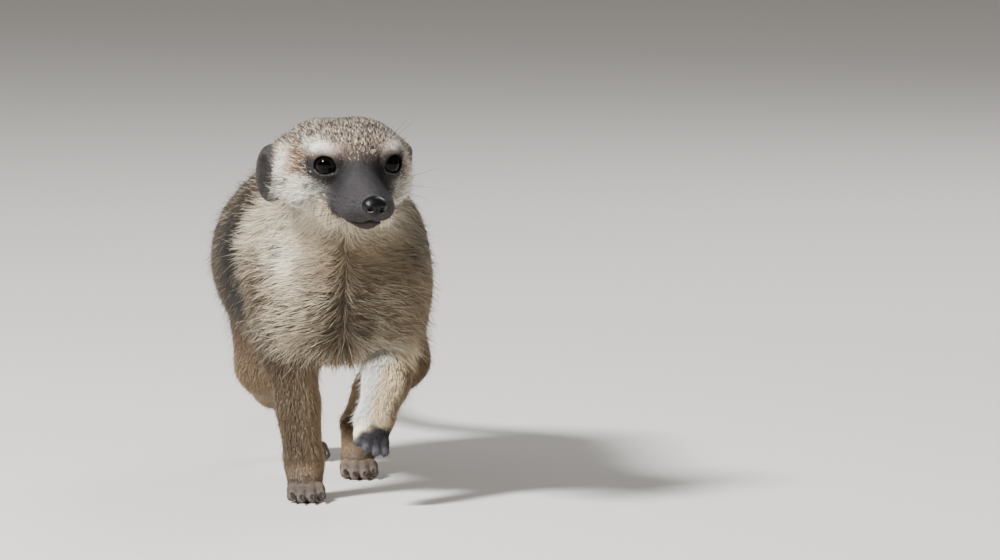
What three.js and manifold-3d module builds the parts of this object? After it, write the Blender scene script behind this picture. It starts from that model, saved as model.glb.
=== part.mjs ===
// A life-size meerkat (Suricata suricatta) in mid walk: three feet planted, the left forepaw lifted,
// the head turned a little to its left and the tail trailing behind.
//
// Units are millimetres, +Z is up, the animal faces -Y and its left side is +X. The floor is z = 0.
// The body is one smooth field, a blend of named bones and muscles at the outside of the coat. It is
// meshed at a cell size that suits each part and parted by thin plane cuts. Toes, claws, ears, eyes
// and the nose leather are built from swept, lathed and spherical solids.
import * as THREE from 'three';
import { mergeVertices } from 'three/addons/utils/BufferGeometryUtils.js';
import Module from 'manifold-3d';

const wasm = await Module();
wasm.setup();

// ---------------------------------------------------------------- driving dimensions
const GAP = 0.3; // clearance left by every cut between two parts
const HEAD_AT = [-2.9, -104.6, 149.2]; // middle of the skull
const HEAD_TURN_DEG = 12; // towards the animal's left
const HEAD_NOD_DEG = 6; // nose down
const EYE_RADIUS = 6;
const EYE_AT = [13, -19.2, 3.1]; // left eye, in the head's own frame
const NOSE_AT = [0, -48.2, -10.3]; // middle of the nose leather, in the head's own frame
const NOSE_RADII = [5.3, 4.6, 4.7];
const EAR_AT = [29.2, 11.5, -5.6]; // left ear, in the head's own frame
const EAR_RADII = [7, 10.5, 12.8];
const TAIL_RADII = { root: 12.5, middle: 7.2, tip: 3.8 };
const CELL = { trunk: 12.9, neck: 9, head: 4.9, foreleg: 7.3, hindleg: 8.5, foot: 5.8, tail: 7.2 };
const HEAD_BOX = [[-46, -164, 104], [44, -70, 178]];
const NEWTON_STEPS = 3; // passes that pull each mesh vertex on to the true surface

// Joint centres of each leg, from the body down to the ball of the foot, and where its toes end.
const LEGS = {
  foreleg_right: {
    line: [[-26, -68, 92], [-24, -52, 66], [-20, -58, 40], [-17.5, -61, 15], [-17.5, -66, 8]],
    radii: [17, 13, 10.4, 8.9, 7.8],
    toes: {
      ball: [-17.5, -69, 5], tip: [-18, -84, 2.3], across: [1, 0, 0],
      spread: 14, radius: 3, claw: [0, -9, -1],
    },
  },
  foreleg_left: {
    line: [[21, -72, 92], [22, -58, 66], [17, -78, 51], [10.6, -95, 37.5], [9.4, -98.5, 34]],
    radii: [16, 12.5, 10.6, 8.6, 7.8],
    toes: {
      ball: [9, -101, 31.4], tip: [8.4, -107, 25.4], across: [0.93, 0, -0.37],
      spread: 13.5, radius: 3, claw: [-0.2, 3.2, -3.2],
    },
  },
  hindleg_right: {
    line: [[-23, 84, 98], [-26, 74, 45], [-20.5, 96, 34], [-12.5, 115, 27], [-7, 104, 9]],
    radii: [24, 14.5, 11.4, 8.6, 7.4],
    toes: {
      ball: [-6.3, 99, 5], tip: [-4.5, 82, 2.3], across: [1, 0, 0],
      spread: 14, radius: 3.1, claw: [0, -7, -1],
    },
  },
  hindleg_left: {
    line: [[20, 82, 96], [32, 48, 50], [22.5, 60, 34], [14.5, 62, 19], [12, 28, 8]],
    radii: [24, 14.5, 11, 8.2, 7.6],
    toes: {
      ball: [11.8, 23, 5], tip: [11.4, 6, 2.3], across: [1, 0, 0],
      spread: 14, radius: 3.1, claw: [0, -7, -1],
    },
  },
};
const TAIL_LINE = [
  [0, 112, 116], [0, 134, 100], [1, 162, 80], [3, 200, 60], [6, 245, 46], [9, 290, 42], [12, 328, 46],
];
const TAIL_END = [12.3, 333, 46.6];
const TOE_COUNT = 4;

// ---------------------------------------------------------------- fields: below zero is inside
const mix = (a, b, t) => a + (b - a) * t;
const clamp01 = (t) => Math.min(1, Math.max(0, t));

function ellipsoid([cx, cy, cz], [rx, ry, rz]) {
  return (x, y, z) => {
    const a = (x - cx) / rx;
    const b = (y - cy) / ry;
    const c = (z - cz) / rz;
    const k0 = Math.hypot(a, b, c);
    const k1 = Math.hypot(a / rx, b / ry, c / rz);
    return k1 > 0 ? (k0 * (k0 - 1)) / k1 : -Math.min(rx, ry, rz);
  };
}

function roundCone([ax, ay, az], [bx, by, bz], ra, rb) {
  const dx = bx - ax;
  const dy = by - ay;
  const dz = bz - az;
  const length2 = dx * dx + dy * dy + dz * dz;
  return (x, y, z) => {
    const t = clamp01(((x - ax) * dx + (y - ay) * dy + (z - az) * dz) / length2);
    return Math.hypot(x - ax - dx * t, y - ay - dy * t, z - az - dz * t) - mix(ra, rb, t);
  };
}

// A union whose joint is rounded over about `soft` millimetres.
function blend(soft, ...fields) {
  return (x, y, z) => {
    let d = Infinity;
    for (const field of fields) {
      const e = field(x, y, z);
      const h = Math.max(soft - Math.abs(d - e), 0) / soft;
      d = Math.min(d, e) - (Number.isFinite(d) ? (h * h * soft) / 4 : 0);
    }
    return d;
  };
}

const bothSides = (make) => [1, -1].map(make);
const vector = ([x, y, z]) => new THREE.Vector3(x, y, z);
const chain = (points, radii) =>
  points.slice(1).map((p, i) => roundCone(points[i], p, radii[i], radii[i + 1]));

// The head's frame, and its inverse for reading fields that are written in it.
const headFrame = new THREE.Object3D();
headFrame.position.copy(vector(HEAD_AT));
headFrame.rotation.set(
  THREE.MathUtils.degToRad(HEAD_NOD_DEG), 0, THREE.MathUtils.degToRad(HEAD_TURN_DEG), 'ZXY');
headFrame.updateMatrixWorld(true);
const toHead = headFrame.matrixWorld.clone().invert();

function inHead(field) {
  const e = toHead.elements;
  return (x, y, z) => field(
    e[0] * x + e[4] * y + e[8] * z + e[12],
    e[1] * x + e[5] * y + e[9] * z + e[13],
    e[2] * x + e[6] * y + e[10] * z + e[14]);
}

// ---------------------------------------------------------------- the body's bones and muscles
const trunkField = blend(18,
  ellipsoid([-3.8, -32, 99], [39.5, 54, 39]), // rib cage
  ellipsoid([-6.2, 4, 98], [45.4, 52, 43]), // waist
  ellipsoid([-6.2, 38, 97], [47.4, 50, 46]), // belly
  ellipsoid([-3, 80, 103], [39, 40, 40]), // hips
  roundCone([-1, -52, 122], [-2, 76, 126], 18, 19), // back
  ellipsoid([-27.2, -32, 112], [22, 36, 27]), // right shoulder blade, raised over the planted leg
  ellipsoid([17, -48, 110], [17, 30, 25]), // left shoulder blade
  ellipsoid([-24.5, -64, 94], [15, 21, 26]), // point of the right shoulder
  ellipsoid([21, -64, 94], [14.5, 21, 26]), // point of the left shoulder
  ellipsoid([0, -72, 93], [24, 19, 30]), // breast
);

const neckField = blend(12,
  roundCone([0, -56, 112], [-2.5, -83, 140], 33, 23.5),
  roundCone([0, -64, 102], [-2, -84, 128], 24, 17),
);

const headField = inHead(blend(5,
  ellipsoid([0, 3, 0], [25.5, 29, 19]), // brain case
  ...bothSides((s) => ellipsoid([s * 10, 2, 3.5], [16, 25, 15.6])), // broad crown
  ellipsoid([0, -13, 6], [17, 14, 11.5]), // forehead
  ...bothSides((s) => ellipsoid([s * 13, -14.5, 7.8], [8.5, 8.5, 5.6])), // brows
  ...bothSides((s) => ellipsoid([s * 16.8, -1, -8], [13.4, 18, 12.3])), // cheeks
  ...bothSides((s) => ellipsoid([s * 23.4, 8, 1], [8.5, 9, 10])), // fur in front of the ears
  roundCone([0, -17, -4.5], [0, -43.5, -10.2], 12.8, 6.2), // muzzle
  ...bothSides((s) => ellipsoid([s * 5.4, -36, -12.4], [6.3, 9.2, 5.3])), // whisker pads
  ...bothSides((s) => roundCone([s * 5.2, -36, -13.2], [s * 10.6, -20, -12.6], 5.2, 6.6)), // lips
  roundCone([0, -8, -12], [0, -37, -17.2], 10, 5), // lower jaw
));

const tailRadii = TAIL_LINE.map((_, i) => {
  const t = (2 * i) / (TAIL_LINE.length - 1);
  return t < 1 ? mix(TAIL_RADII.root, TAIL_RADII.middle, t) : mix(TAIL_RADII.middle, TAIL_RADII.tip, t - 1);
});
const tailField = blend(0.5, ...chain(TAIL_LINE, tailRadii));

const legFields = Object.fromEntries(
  Object.entries(LEGS).map(([name, leg]) => [name, blend(3, ...chain(leg.line, leg.radii))]));

const barrelField = blend(10, trunkField, neckField);
const torsoField = blend(10, barrelField, headField, tailField);
const wholeField = blend(11, torsoField, ...Object.values(legFields));

// ---------------------------------------------------------------- from a field to a solid
const solidOfTriangles = (positions, triangles) => new wasm.Manifold(new wasm.Mesh({
  numProp: 3,
  vertProperties: new Float32Array(positions),
  triVerts: new Uint32Array(triangles),
}));

// Surface nets: one vertex in each cell that the surface crosses, one quad on each crossed grid edge.
function solidOfField(field, low, high, cell) {
  const count = low.map((v, i) => Math.ceil((high[i] - v) / cell) + 1);
  const [nx, ny, nz] = count;
  const at = (i, j, k) => (k * ny + j) * nx + i;
  const value = new Float32Array(nx * ny * nz);
  for (let k = 0; k < nz; k++) {
    for (let j = 0; j < ny; j++) {
      for (let i = 0; i < nx; i++) {
        const border = !i || !j || !k || i === nx - 1 || j === ny - 1 || k === nz - 1;
        const d = field(low[0] + i * cell, low[1] + j * cell, low[2] + k * cell);
        value[at(i, j, k)] = border ? Math.max(d, cell / 4) : d;
      }
    }
  }
  parePinches(value, count, at);
  const corner = [...Array(8).keys()].map((c) => [c & 1, (c >> 1) & 1, c >> 2]);
  const edges = [];
  for (let a = 0; a < 8; a++) {
    edges.push(...[1, 2, 4].filter((bit) => !(a & bit)).map((bit) => [a, a | bit]));
  }
  const positions = [];
  const vertexOf = new Int32Array(nx * ny * nz).fill(-1);
  for (let k = 0; k < nz - 1; k++) {
    for (let j = 0; j < ny - 1; j++) {
      for (let i = 0; i < nx - 1; i++) {
        const v = corner.map(([a, b, c]) => value[at(i + a, j + b, k + c)]);
        const crossed = edges.filter(([a, b]) => v[a] < 0 !== v[b] < 0);
        if (!crossed.length) continue;
        const sum = [0, 0, 0];
        for (const [a, b] of crossed) {
          const t = v[a] / (v[a] - v[b]);
          for (let n = 0; n < 3; n++) sum[n] += mix(corner[a][n], corner[b][n], t);
        }
        const p = [i, j, k].map((g, n) => low[n] + (g + sum[n] / crossed.length) * cell);
        vertexOf[at(i, j, k)] = positions.length / 3;
        positions.push(...pulledOn(field, p, cell));
      }
    }
  }
  const triangles = [];
  const steps = [[1, 0, 0], [0, 1, 0], [0, 0, 1]];
  for (let k = 0; k < nz - 1; k++) {
    for (let j = 0; j < ny - 1; j++) {
      for (let i = 0; i < nx - 1; i++) {
        const inside = value[at(i, j, k)] < 0;
        steps.forEach(([a, b, c], axis) => {
          if (value[at(i + a, j + b, k + c)] < 0 === inside) return;
          const [u, v] = [steps[(axis + 1) % 3], steps[(axis + 2) % 3]];
          const ring = [[0, 0], [1, 0], [1, 1], [0, 1]].map(([p, q]) =>
            vertexOf[at(i - p * u[0] - q * v[0], j - p * u[1] - q * v[1], k - p * u[2] - q * v[2])]);
          if (!inside) ring.reverse();
          triangles.push(ring[0], ring[1], ring[2], ring[0], ring[2], ring[3]);
        });
      }
    }
  }
  return solidOfTriangles(positions, triangles);
}

// Where the corners of a grid face alternate in and out, two sheets would touch along an edge: the
// inner corners are moved just outside until no face is left like that.
function parePinches(value, [nx, ny, nz], at) {
  const planes = [[[1, 0, 0], [0, 1, 0]], [[0, 1, 0], [0, 0, 1]], [[0, 0, 1], [1, 0, 0]]];
  let found = true;
  while (found) {
    found = false;
    for (let k = 0; k < nz - 1; k++) {
      for (let j = 0; j < ny - 1; j++) {
        for (let i = 0; i < nx - 1; i++) {
          for (const [u, v] of planes) {
            const ring = [
              at(i, j, k), at(i + u[0], j + u[1], k + u[2]),
              at(i + u[0] + v[0], j + u[1] + v[1], k + u[2] + v[2]), at(i + v[0], j + v[1], k + v[2]),
            ];
            const inner = ring.map((c) => value[c] < 0);
            if (inner[0] !== inner[2] || inner[1] !== inner[3] || inner[0] === inner[1]) continue;
            for (const c of ring) value[c] = Math.max(value[c], 1e-3);
            found = true;
          }
        }
      }
    }
  }
}

// Newton steps along the field's slope, never further than half a cell.
function pulledOn(field, p, cell) {
  const h = 0.05;
  const q = [...p];
  for (let n = 0; n < NEWTON_STEPS; n++) {
    const d = field(...q);
    const slope = q.map((_, i) => {
      const ahead = [...q];
      ahead[i] += h;
      return (field(...ahead) - d) / h;
    });
    const steep = slope.reduce((s, g) => s + g * g, 0) + 1e-6;
    q.forEach((_, i) => { q[i] -= (d * slope[i]) / steep; });
  }
  const moved = Math.hypot(q[0] - p[0], q[1] - p[1], q[2] - p[2]);
  const share = Math.min(1, cell / 2 / (moved + 1e-9));
  return p.map((v, i) => mix(v, q[i], share));
}

// ---------------------------------------------------------------- from three.js shapes to solids
function solidOfGeometry(geometry, matrix) {
  const bare = geometry.index ? geometry.toNonIndexed() : geometry.clone();
  bare.deleteAttribute('normal');
  bare.deleteAttribute('uv');
  if (matrix) bare.applyMatrix4(matrix);
  const merged = mergeVertices(bare, 1e-4);
  return solidOfTriangles(merged.attributes.position.array, merged.index.array);
}

function ball(centre, radii, [columns, rows], matrix = new THREE.Matrix4()) {
  const place = new THREE.Matrix4().makeTranslation(...centre).scale(vector(radii));
  return solidOfGeometry(new THREE.SphereGeometry(1, columns, rows), matrix.clone().multiply(place));
}

// A pointed claw from a to b, turned on a lathe.
function thorn(a, b, radius) {
  const along = b.clone().sub(a);
  const profile = [[0, -0.1], [radius, 0], [radius * 0.62, 0.6], [0, 1]];
  const lathe = new THREE.LatheGeometry(
    profile.map(([r, t]) => new THREE.Vector2(r, t * along.length())), 5);
  const turn = new THREE.Quaternion().setFromUnitVectors(vector([0, 1, 0]), along.normalize());
  return solidOfGeometry(lathe, new THREE.Matrix4().compose(a, turn, vector([1, 1, 1])));
}

// A round tube of changing radius along a curve through the points.
function sweep(points, radii, sides, rings) {
  const curve = new THREE.CatmullRomCurve3(points);
  const positions = [];
  const triangles = [];
  for (let k = 0; k <= rings; k++) {
    const t = k / rings;
    const out = curve.getTangent(t);
    const across = vector([1, 0, 0]).addScaledVector(out, -out.x).normalize();
    const up = out.clone().cross(across);
    const i = Math.min(Math.floor(t * (points.length - 1)), points.length - 2);
    const r = mix(radii[i], radii[i + 1], t * (points.length - 1) - i);
    for (let n = 0; n < sides; n++) {
      const turn = (2 * Math.PI * n) / sides;
      const rim = curve.getPoint(t).addScaledVector(across, r * Math.cos(turn));
      positions.push(...rim.addScaledVector(up, r * Math.sin(turn)));
      const [a, b] = [k * sides + n, k * sides + ((n + 1) % sides)];
      if (k < rings) triangles.push(a, b, b + sides, a, b + sides, a + sides);
      if (n > 0 && n < sides - 1 && k === 0) triangles.push(0, b, a);
      if (n > 0 && n < sides - 1 && k === rings) triangles.push(k * sides, a, b);
    }
  }
  return solidOfTriangles(positions, triangles);
}

// A block with one face centred on `at`, reaching `depth` along `normal` and `half` to each side.
function block(at, normal, depth, [halfAcross, halfAlong], shift = 0) {
  const out = vector(normal).normalize();
  const across = vector([0, 1, 0]).cross(out);
  if (across.lengthSq() < 0.01) across.set(1, 0, 0);
  across.normalize();
  const along = out.clone().cross(across);
  const middle = vector(at).addScaledVector(out, shift + depth / 2);
  const place = new THREE.Matrix4().makeBasis(across, along, out).setPosition(middle);
  return solidOfGeometry(new THREE.BoxGeometry(2 * halfAcross, 2 * halfAlong, depth), place);
}

// ---------------------------------------------------------------- where the body is parted
// A leg's cut also stops at an `inner` plane, near the middle of the body.
const CUTS = {
  head: { at: [-2, -93, 141], normal: [0.1, -0.84, 0.55], depth: 120, half: [90, 70] },
  neck: { at: [0, -76, 122], normal: [0, -0.8, 0.6], depth: 140, half: [90, 46] },
  tail: { at: [0, 121, 109], normal: [0, 0.87, -0.5], depth: 62, half: [16, 16] },
  foreleg_right: {
    at: [-28, -66, 79], normal: [-0.55, 0, -0.84], depth: 110, half: [70, 34],
    inner: { at: [0, -60, 50], normal: [-1, 0, 0] },
  },
  foreleg_left: {
    at: [28, -72, 79], normal: [0.55, 0, -0.84], depth: 110, half: [70, 44],
    inner: { at: [0, -60, 50], normal: [1, 0, 0] },
  },
  hindleg_right: {
    at: [-30, 84, 82], normal: [-0.62, 0.1, -0.78], depth: 120, half: [70, 48],
    inner: { at: [0, 90, 56], normal: [-1, 0, 0] },
  },
  hindleg_left: {
    at: [32, 62, 80], normal: [0.62, -0.1, -0.78], depth: 120, half: [70, 62],
    inner: { at: [0, 60, 50], normal: [1, 0, 0] },
  },
};
const FEET = {
  foreleg_right: { at: [-17.5, -61, 15], normal: [0, -0.25, -1] },
  foreleg_left: { at: [10.4, -95.6, 37], normal: [-0.3, -0.6, -0.75] },
  hindleg_right: { at: [-9.5, 110, 20], normal: [0.1, -0.6, -0.8] },
  hindleg_left: { at: [15, 50, 14], normal: [0, -1, -0.2] },
};
function cutOf({ at, normal, depth = 70, half = [22, 20], inner }, shift) {
  const main = block(at, normal, depth, half, shift);
  return inner ? main.intersect(block(inner.at, inner.normal, 160, [160, 160], shift)) : main;
}

// The part of a solid on the outer side of a cut, and what is left on the inner side.
const beyond = (solid, cut) => solid.intersect(cutOf(cut, GAP / 2));
const before = (solid, cut) => solid.subtract(cutOf(cut, -GAP / 2));

// ---------------------------------------------------------------- parts
const material = (color, roughness = 0.9) =>
  new THREE.MeshStandardMaterial({ color, roughness, metalness: 0 });
const FINISH = {
  back: material(0x7a6c5c),
  pale: material(0xa39683),
  leg: material(0x8a7862),
  foot: material(0x6f6050),
  ear: material(0x2e2926),
  eye: material(0x14100d, 0.08),
  leather: material(0x17151a, 0.4),
  tail: material(0x8f7550),
  tailTip: material(0x2a2320),
};

const meerkat = new THREE.Group();

function add(name, solid, finish) {
  const pieces = solid.decompose().sort((a, b) => b.volume() - a.volume());
  const mesh = pieces[0].getMesh();
  const geometry = new THREE.BufferGeometry();
  geometry.setAttribute('position', new THREE.BufferAttribute(mesh.vertProperties, 3));
  geometry.setIndex(new THREE.BufferAttribute(mesh.triVerts, 1));
  geometry.computeVertexNormals();
  const made = new THREE.Mesh(geometry, finish);
  made.name = name;
  meerkat.add(made);
}

function trunk() {
  let solid = solidOfField(wholeField, [-66, -128, 24], [66, 140, 168], CELL.trunk);
  for (const name of ['neck', 'tail', ...Object.keys(LEGS)]) solid = before(solid, CUTS[name]);
  return solid;
}

// `grow` is the clearance for what sits against the neck.
function neck(grow) {
  const field = (...p) => torsoField(...p) - grow;
  const solid = solidOfField(field, [-62, -134, 70], [62, -44, 176], CELL.neck);
  return before(beyond(solid, CUTS.neck), CUTS.head);
}

const eyeBall = (side, grow) => {
  const [x, y, z] = EYE_AT;
  const r = EYE_RADIUS + grow;
  return ball([side * x, y, z], [r, r, r], [12, 8], headFrame.matrixWorld);
};
const noseLeather = (grow) =>
  ball(NOSE_AT, NOSE_RADII.map((r) => r + grow), [12, 8], headFrame.matrixWorld);

function head() {
  const solid = beyond(solidOfField(torsoField, ...HEAD_BOX, CELL.head), CUTS.head);
  return solid.subtract(eyeBall(1, GAP)).subtract(eyeBall(-1, GAP)).subtract(noseLeather(GAP));
}

// A crescent-shaped ear: an upright oval with its cup scooped from the front and the outer side.
function ear(side, skull, nape) {
  const [x, y, z] = EAR_AT;
  const [rx, ry, rz] = EAR_RADII;
  const whole = ball([side * x, y, z], EAR_RADII, [11, 6], headFrame.matrixWorld);
  const cup = ball([side * (x + rx * 1.3), y - ry * 0.3, z - rz * 0.04],
    [rx * 0.8, ry * 0.8, rz * 0.72], [9, 5], headFrame.matrixWorld);
  return whole.subtract(cup).subtract(skull).subtract(nape);
}

// A leg from its cut at the body down to its cut at the wrist or hock.
function leg(name) {
  const { line } = LEGS[name];
  const reach = 34;
  const low = [0, 1, 2].map((i) => Math.min(...line.map((p) => p[i])) - reach);
  const high = [0, 1, 2].map((i) => Math.max(...line.map((p) => p[i])) + reach);
  const field = blend(11, barrelField, legFields[name]);
  const cell = name.startsWith('fore') ? CELL.foreleg : CELL.hindleg;
  const solid = beyond(solidOfField(field, low, high, cell), CUTS[name]);
  return before(solid, FEET[name]);
}

// A foot: the end of the leg, four toes fanned from the ball and a claw on each.
function foot(name) {
  const { line, radii, toes } = LEGS[name];
  const reach = 14;
  const ends = line.slice(-2);
  const low = [0, 1, 2].map((i) => Math.min(...ends.map((p) => p[i])) - reach);
  const high = [0, 1, 2].map((i) => Math.max(...ends.map((p) => p[i])) + reach);
  const sole = roundCone(ends[1], toes.ball, radii.at(-1) * 0.95, 6.6);
  const field = blend(3, legFields[name], sole);
  let solid = beyond(solidOfField(field, low, high, CELL.foot), FEET[name]);
  for (let n = 0; n < TOE_COUNT; n++) solid = solid.add(toe(toes, n / (TOE_COUNT - 1) - 0.5));
  return solid.subtract(block([0, 0, 0], [0, 0, -1], 40, [400, 400]));
}

// One toe bent at its knuckle, with its claw. `fan` runs from -0.5 to 0.5 across the foot.
function toe({ ball: root, tip, across, spread, radius, claw }, fan) {
  const sideways = vector(across).multiplyScalar(fan * spread);
  const start = vector(root).addScaledVector(sideways, 0.62);
  const reach = 1 - 0.9 * fan * fan; // the outer toes are shorter
  const end = start.clone().lerp(vector(tip).add(sideways), reach);
  const knuckle = start.clone().lerp(end, 0.55);
  knuckle.z += radius * 0.45;
  const clawRoot = end.clone().add(new THREE.Vector3(0, -0.3, 0.2).multiplyScalar(radius));
  const clawEnd = end.clone().add(vector(claw));
  return sweep([start, knuckle, end], [radius * 1.15, radius * 1.05, radius * 0.7], 6, 4)
    .add(thorn(clawRoot, clawEnd, 1.35));
}

// The tail in three lengths, parted square to its run.
function tailLengths() {
  const root = solidOfField(torsoField, [-28, 84, 66], [36, 176, 140], CELL.tail);
  const rest = sweep([...TAIL_LINE.slice(1), TAIL_END].map(vector), [...tailRadii.slice(1), 1.6], 10, 18);
  const square = (i) => {
    const [a, b] = [TAIL_LINE[i - 1], TAIL_LINE[i + 1]];
    return { at: TAIL_LINE[i], normal: b.map((v, n) => v - a[n]), depth: 260, half: [60, 60] };
  };
  const [first, second] = [square(2), square(4)];
  return {
    tail_base: before(beyond(root, CUTS.tail), first),
    tail_middle: before(beyond(rest, first), second),
    tail_tip: beyond(rest, second),
  };
}

const skull = solidOfField((...p) => torsoField(...p) - GAP, ...HEAD_BOX, CELL.head);
const nape = neck(3 * GAP);

add('trunk', trunk(), FINISH.back);
add('neck', neck(0), FINISH.pale);
add('head', head(), FINISH.pale);
for (const [label, side] of [['left', 1], ['right', -1]]) {
  add(`ear_${label}`, ear(side, skull, nape), FINISH.ear);
  add(`eye_${label}`, eyeBall(side, 0), FINISH.eye);
}
add('nose', noseLeather(0), FINISH.leather);
for (const name of Object.keys(LEGS)) {
  add(name, leg(name), FINISH.leg);
  add(name.replace('leg', 'foot'), foot(name), FINISH.foot);
}
for (const [name, solid] of Object.entries(tailLengths())) {
  add(name, solid, name === 'tail_tip' ? FINISH.tailTip : FINISH.tail);
}

// The origin is under the middle of the whole model, on the floor.
const extent = new THREE.Box3().setFromObject(meerkat);
meerkat.position.set(-(extent.min.x + extent.max.x) / 2, -(extent.min.y + extent.max.y) / 2, 0);

export default meerkat;
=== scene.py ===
"""A life-size meerkat in mid walk: one skin, a coat of solid hairs, eyes, nose, claws and whiskers."""

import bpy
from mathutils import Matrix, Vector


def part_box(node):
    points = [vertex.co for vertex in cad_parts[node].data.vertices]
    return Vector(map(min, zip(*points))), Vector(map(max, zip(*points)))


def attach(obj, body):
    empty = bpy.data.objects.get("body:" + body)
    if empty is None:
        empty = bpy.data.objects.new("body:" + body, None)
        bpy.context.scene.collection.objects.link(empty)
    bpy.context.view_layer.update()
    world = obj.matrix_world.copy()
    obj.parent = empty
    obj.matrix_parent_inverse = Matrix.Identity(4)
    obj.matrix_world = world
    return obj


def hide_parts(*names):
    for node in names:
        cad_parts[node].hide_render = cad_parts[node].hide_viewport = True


bl_info = {
    "name": "Walking meerkat",
    "version": (1, 0, 0),
    "blender": (4, 5, 0),
    "location": "3D View > Sidebar > Meerkat",
    "description": "Builds the skin, coat, eyes, nose, claws, whiskers and studio of a life-size meerkat",
    "category": "Add Mesh",
}

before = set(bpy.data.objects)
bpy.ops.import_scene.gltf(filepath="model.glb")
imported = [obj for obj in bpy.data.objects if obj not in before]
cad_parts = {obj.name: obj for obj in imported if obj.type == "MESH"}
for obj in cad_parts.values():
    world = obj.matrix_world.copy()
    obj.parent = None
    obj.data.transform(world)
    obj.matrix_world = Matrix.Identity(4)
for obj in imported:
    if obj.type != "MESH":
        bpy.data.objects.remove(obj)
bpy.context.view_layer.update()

import math
from functools import partial
from types import SimpleNamespace

import bmesh
import bpy
import numpy as np
from bpy.props import FloatProperty, FloatVectorProperty, IntProperty, PointerProperty
from mathutils import Vector

MM = 0.001

# ------------------------------------------------------------------ the body's measures, in millimetres
# The animal faces -Y, its left is +X and the floor is z = 0. They are the same as those of the solids.
HEAD_AT = np.array([-2.9, -104.6, 149.2])
HEAD_TURN = math.radians(12)
HEAD_NOD = math.radians(6)
EYE_AT = np.array([13.0, -19.2, 3.1])
NOSE_AT = np.array([0, -48.2, -10.3])
NOSE_RADII = np.array([5.3, 4.6, 4.7])
EAR_AT = np.array([29.2, 11.5, -5.6])
EAR_RADII = np.array([7, 10.5, 12.8])
EAR_FOLD = np.array([1.0, -2.6, -1.5])
EAR_CUP, EAR_CUP_RADII = np.array([1.05, -0.34, -0.04]), np.array([0.98, 0.8, 0.76])
TAIL_LINE = np.array([
    [0, 112, 116], [0, 134, 100], [1, 162, 80], [3, 200, 60], [6, 245, 46], [9, 290, 42], [12, 328, 46],
], float)
TAIL_RADII = [12.5, 10.73, 8.97, 7.2, 6.07, 4.93, 3.8]
TOES = 4
# No part of a foot is further than this from its ball.
FOOT_REACH = 34
JAW_AT = np.array([11.0, -20.0, -17.0])
JAW_RADII = np.array([6.0, 11.0, 5.0])
LIPS_HEIGHT = -18.3
PALE_ELBOW = ((13.5, -84, 65.5), (8, 14, 6), 0.5)

TRUNK = [
    ((-3.8, -32, 99), (39.5, 54, 39)),
    ((-6.2, 4, 98), (45.4, 52, 43)),
    ((-6.2, 38, 97), (47.4, 50, 46)),
    ((-3, 80, 103), (39, 40, 40)),
    ((-1, -52, 122), (-2, 76, 126), 18, 19),
    ((-27.2, -32, 112), (22, 36, 27)),
    ((17, -48, 110), (17, 30, 25)),
    ((-24.5, -64, 94), (15, 21, 26)),
    ((21, -64, 94), (14.5, 21, 26)),
    ((0, -72, 93), (24, 19, 30)),
]
NECK = [
    ((0, -56, 112), (-2.5, -83, 140), 33, 23.5),
    ((0, -64, 102), (-2, -84, 128), 24, 17),
]
HEAD = [
    ((0, 3, 0), (25.5, 29, 19)),
    ((10, 2, 3.5), (16, 25, 15.6)), ((-10, 2, 3.5), (16, 25, 15.6)),
    ((0, -13, 6), (17, 14, 11.5)),
    ((13, -14.5, 7.8), (8.5, 8.5, 5.6)), ((-13, -14.5, 7.8), (8.5, 8.5, 5.6)),
    ((16.8, -1, -8), (13.4, 18, 12.3)), ((-16.8, -1, -8), (13.4, 18, 12.3)),
    ((23.4, 8, 1), (8.5, 9, 10)), ((-23.4, 8, 1), (8.5, 9, 10)),
    ((0, -17, -4.5), (0, -43.5, -10.2), 12.8, 6.2),
    ((5.4, -36, -12.4), (6.3, 9.2, 5.3)), ((-5.4, -36, -12.4), (6.3, 9.2, 5.3)),
    ((5.2, -36, -13.2), (10.6, -20, -12.6), 5.2, 6.6), ((-5.2, -36, -13.2), (-10.6, -20, -12.6), 5.2, 6.6),
    ((0, -8, -12), (0, -37, -17.2), 10, 5),
]
LEGS = {
    "foreleg_right": dict(
        line=[(-26, -68, 92), (-24, -52, 66), (-20, -58, 40), (-17.5, -61, 15), (-17.5, -66, 8)],
        radii=[17, 13, 10.4, 8.9, 7.8], ball=(-17.5, -69, 5), tip=(-18, -84, 2.3),
        across=(1, 0, 0), spread=14, toe=3.0, claw=(0, -9, -1)),
    "foreleg_left": dict(
        line=[(21, -72, 92), (22, -58, 66), (17, -78, 51), (10.6, -95, 37.5), (9.4, -98.5, 34)],
        radii=[16, 12.5, 10.6, 8.6, 7.8], ball=(9, -101, 31.4), tip=(8.4, -107, 25.4),
        across=(0.93, 0, -0.37), spread=13.5, toe=3.0, claw=(-0.2, 3.2, -3.2)),
    "hindleg_right": dict(
        line=[(-23, 84, 98), (-26, 74, 45), (-20.5, 96, 34), (-12.5, 115, 27), (-7, 104, 9)],
        radii=[24, 14.5, 11.4, 8.6, 7.4], ball=(-6.3, 99, 5), tip=(-4.5, 82, 2.3),
        across=(1, 0, 0), spread=14, toe=3.1, claw=(0, -7, -1)),
    "hindleg_left": dict(
        line=[(20, 82, 96), (32, 48, 50), (22.5, 60, 34), (14.5, 62, 19), (12, 28, 8)],
        radii=[24, 14.5, 11, 8.2, 7.6], ball=(11.8, 23, 5), tip=(11.4, 6, 2.3),
        across=(1, 0, 0), spread=14, toe=3.1, claw=(0, -7, -1)),
}
FLESH = ["trunk", "neck", "head", "ear_left", "ear_right", "tail_base", "tail_middle", "tail_tip"]
FLESH += list(LEGS) + [name.replace("leg", "foot") for name in LEGS]

# The box that the skin is found in, the cell of its net, and how often the face's cells are split.
SKIN_LOW, SKIN_HIGH, SKIN_CELL, SKIN_SPLITS = (-62, -166, -4), (56, 344, 178), 1.56, 3
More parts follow.
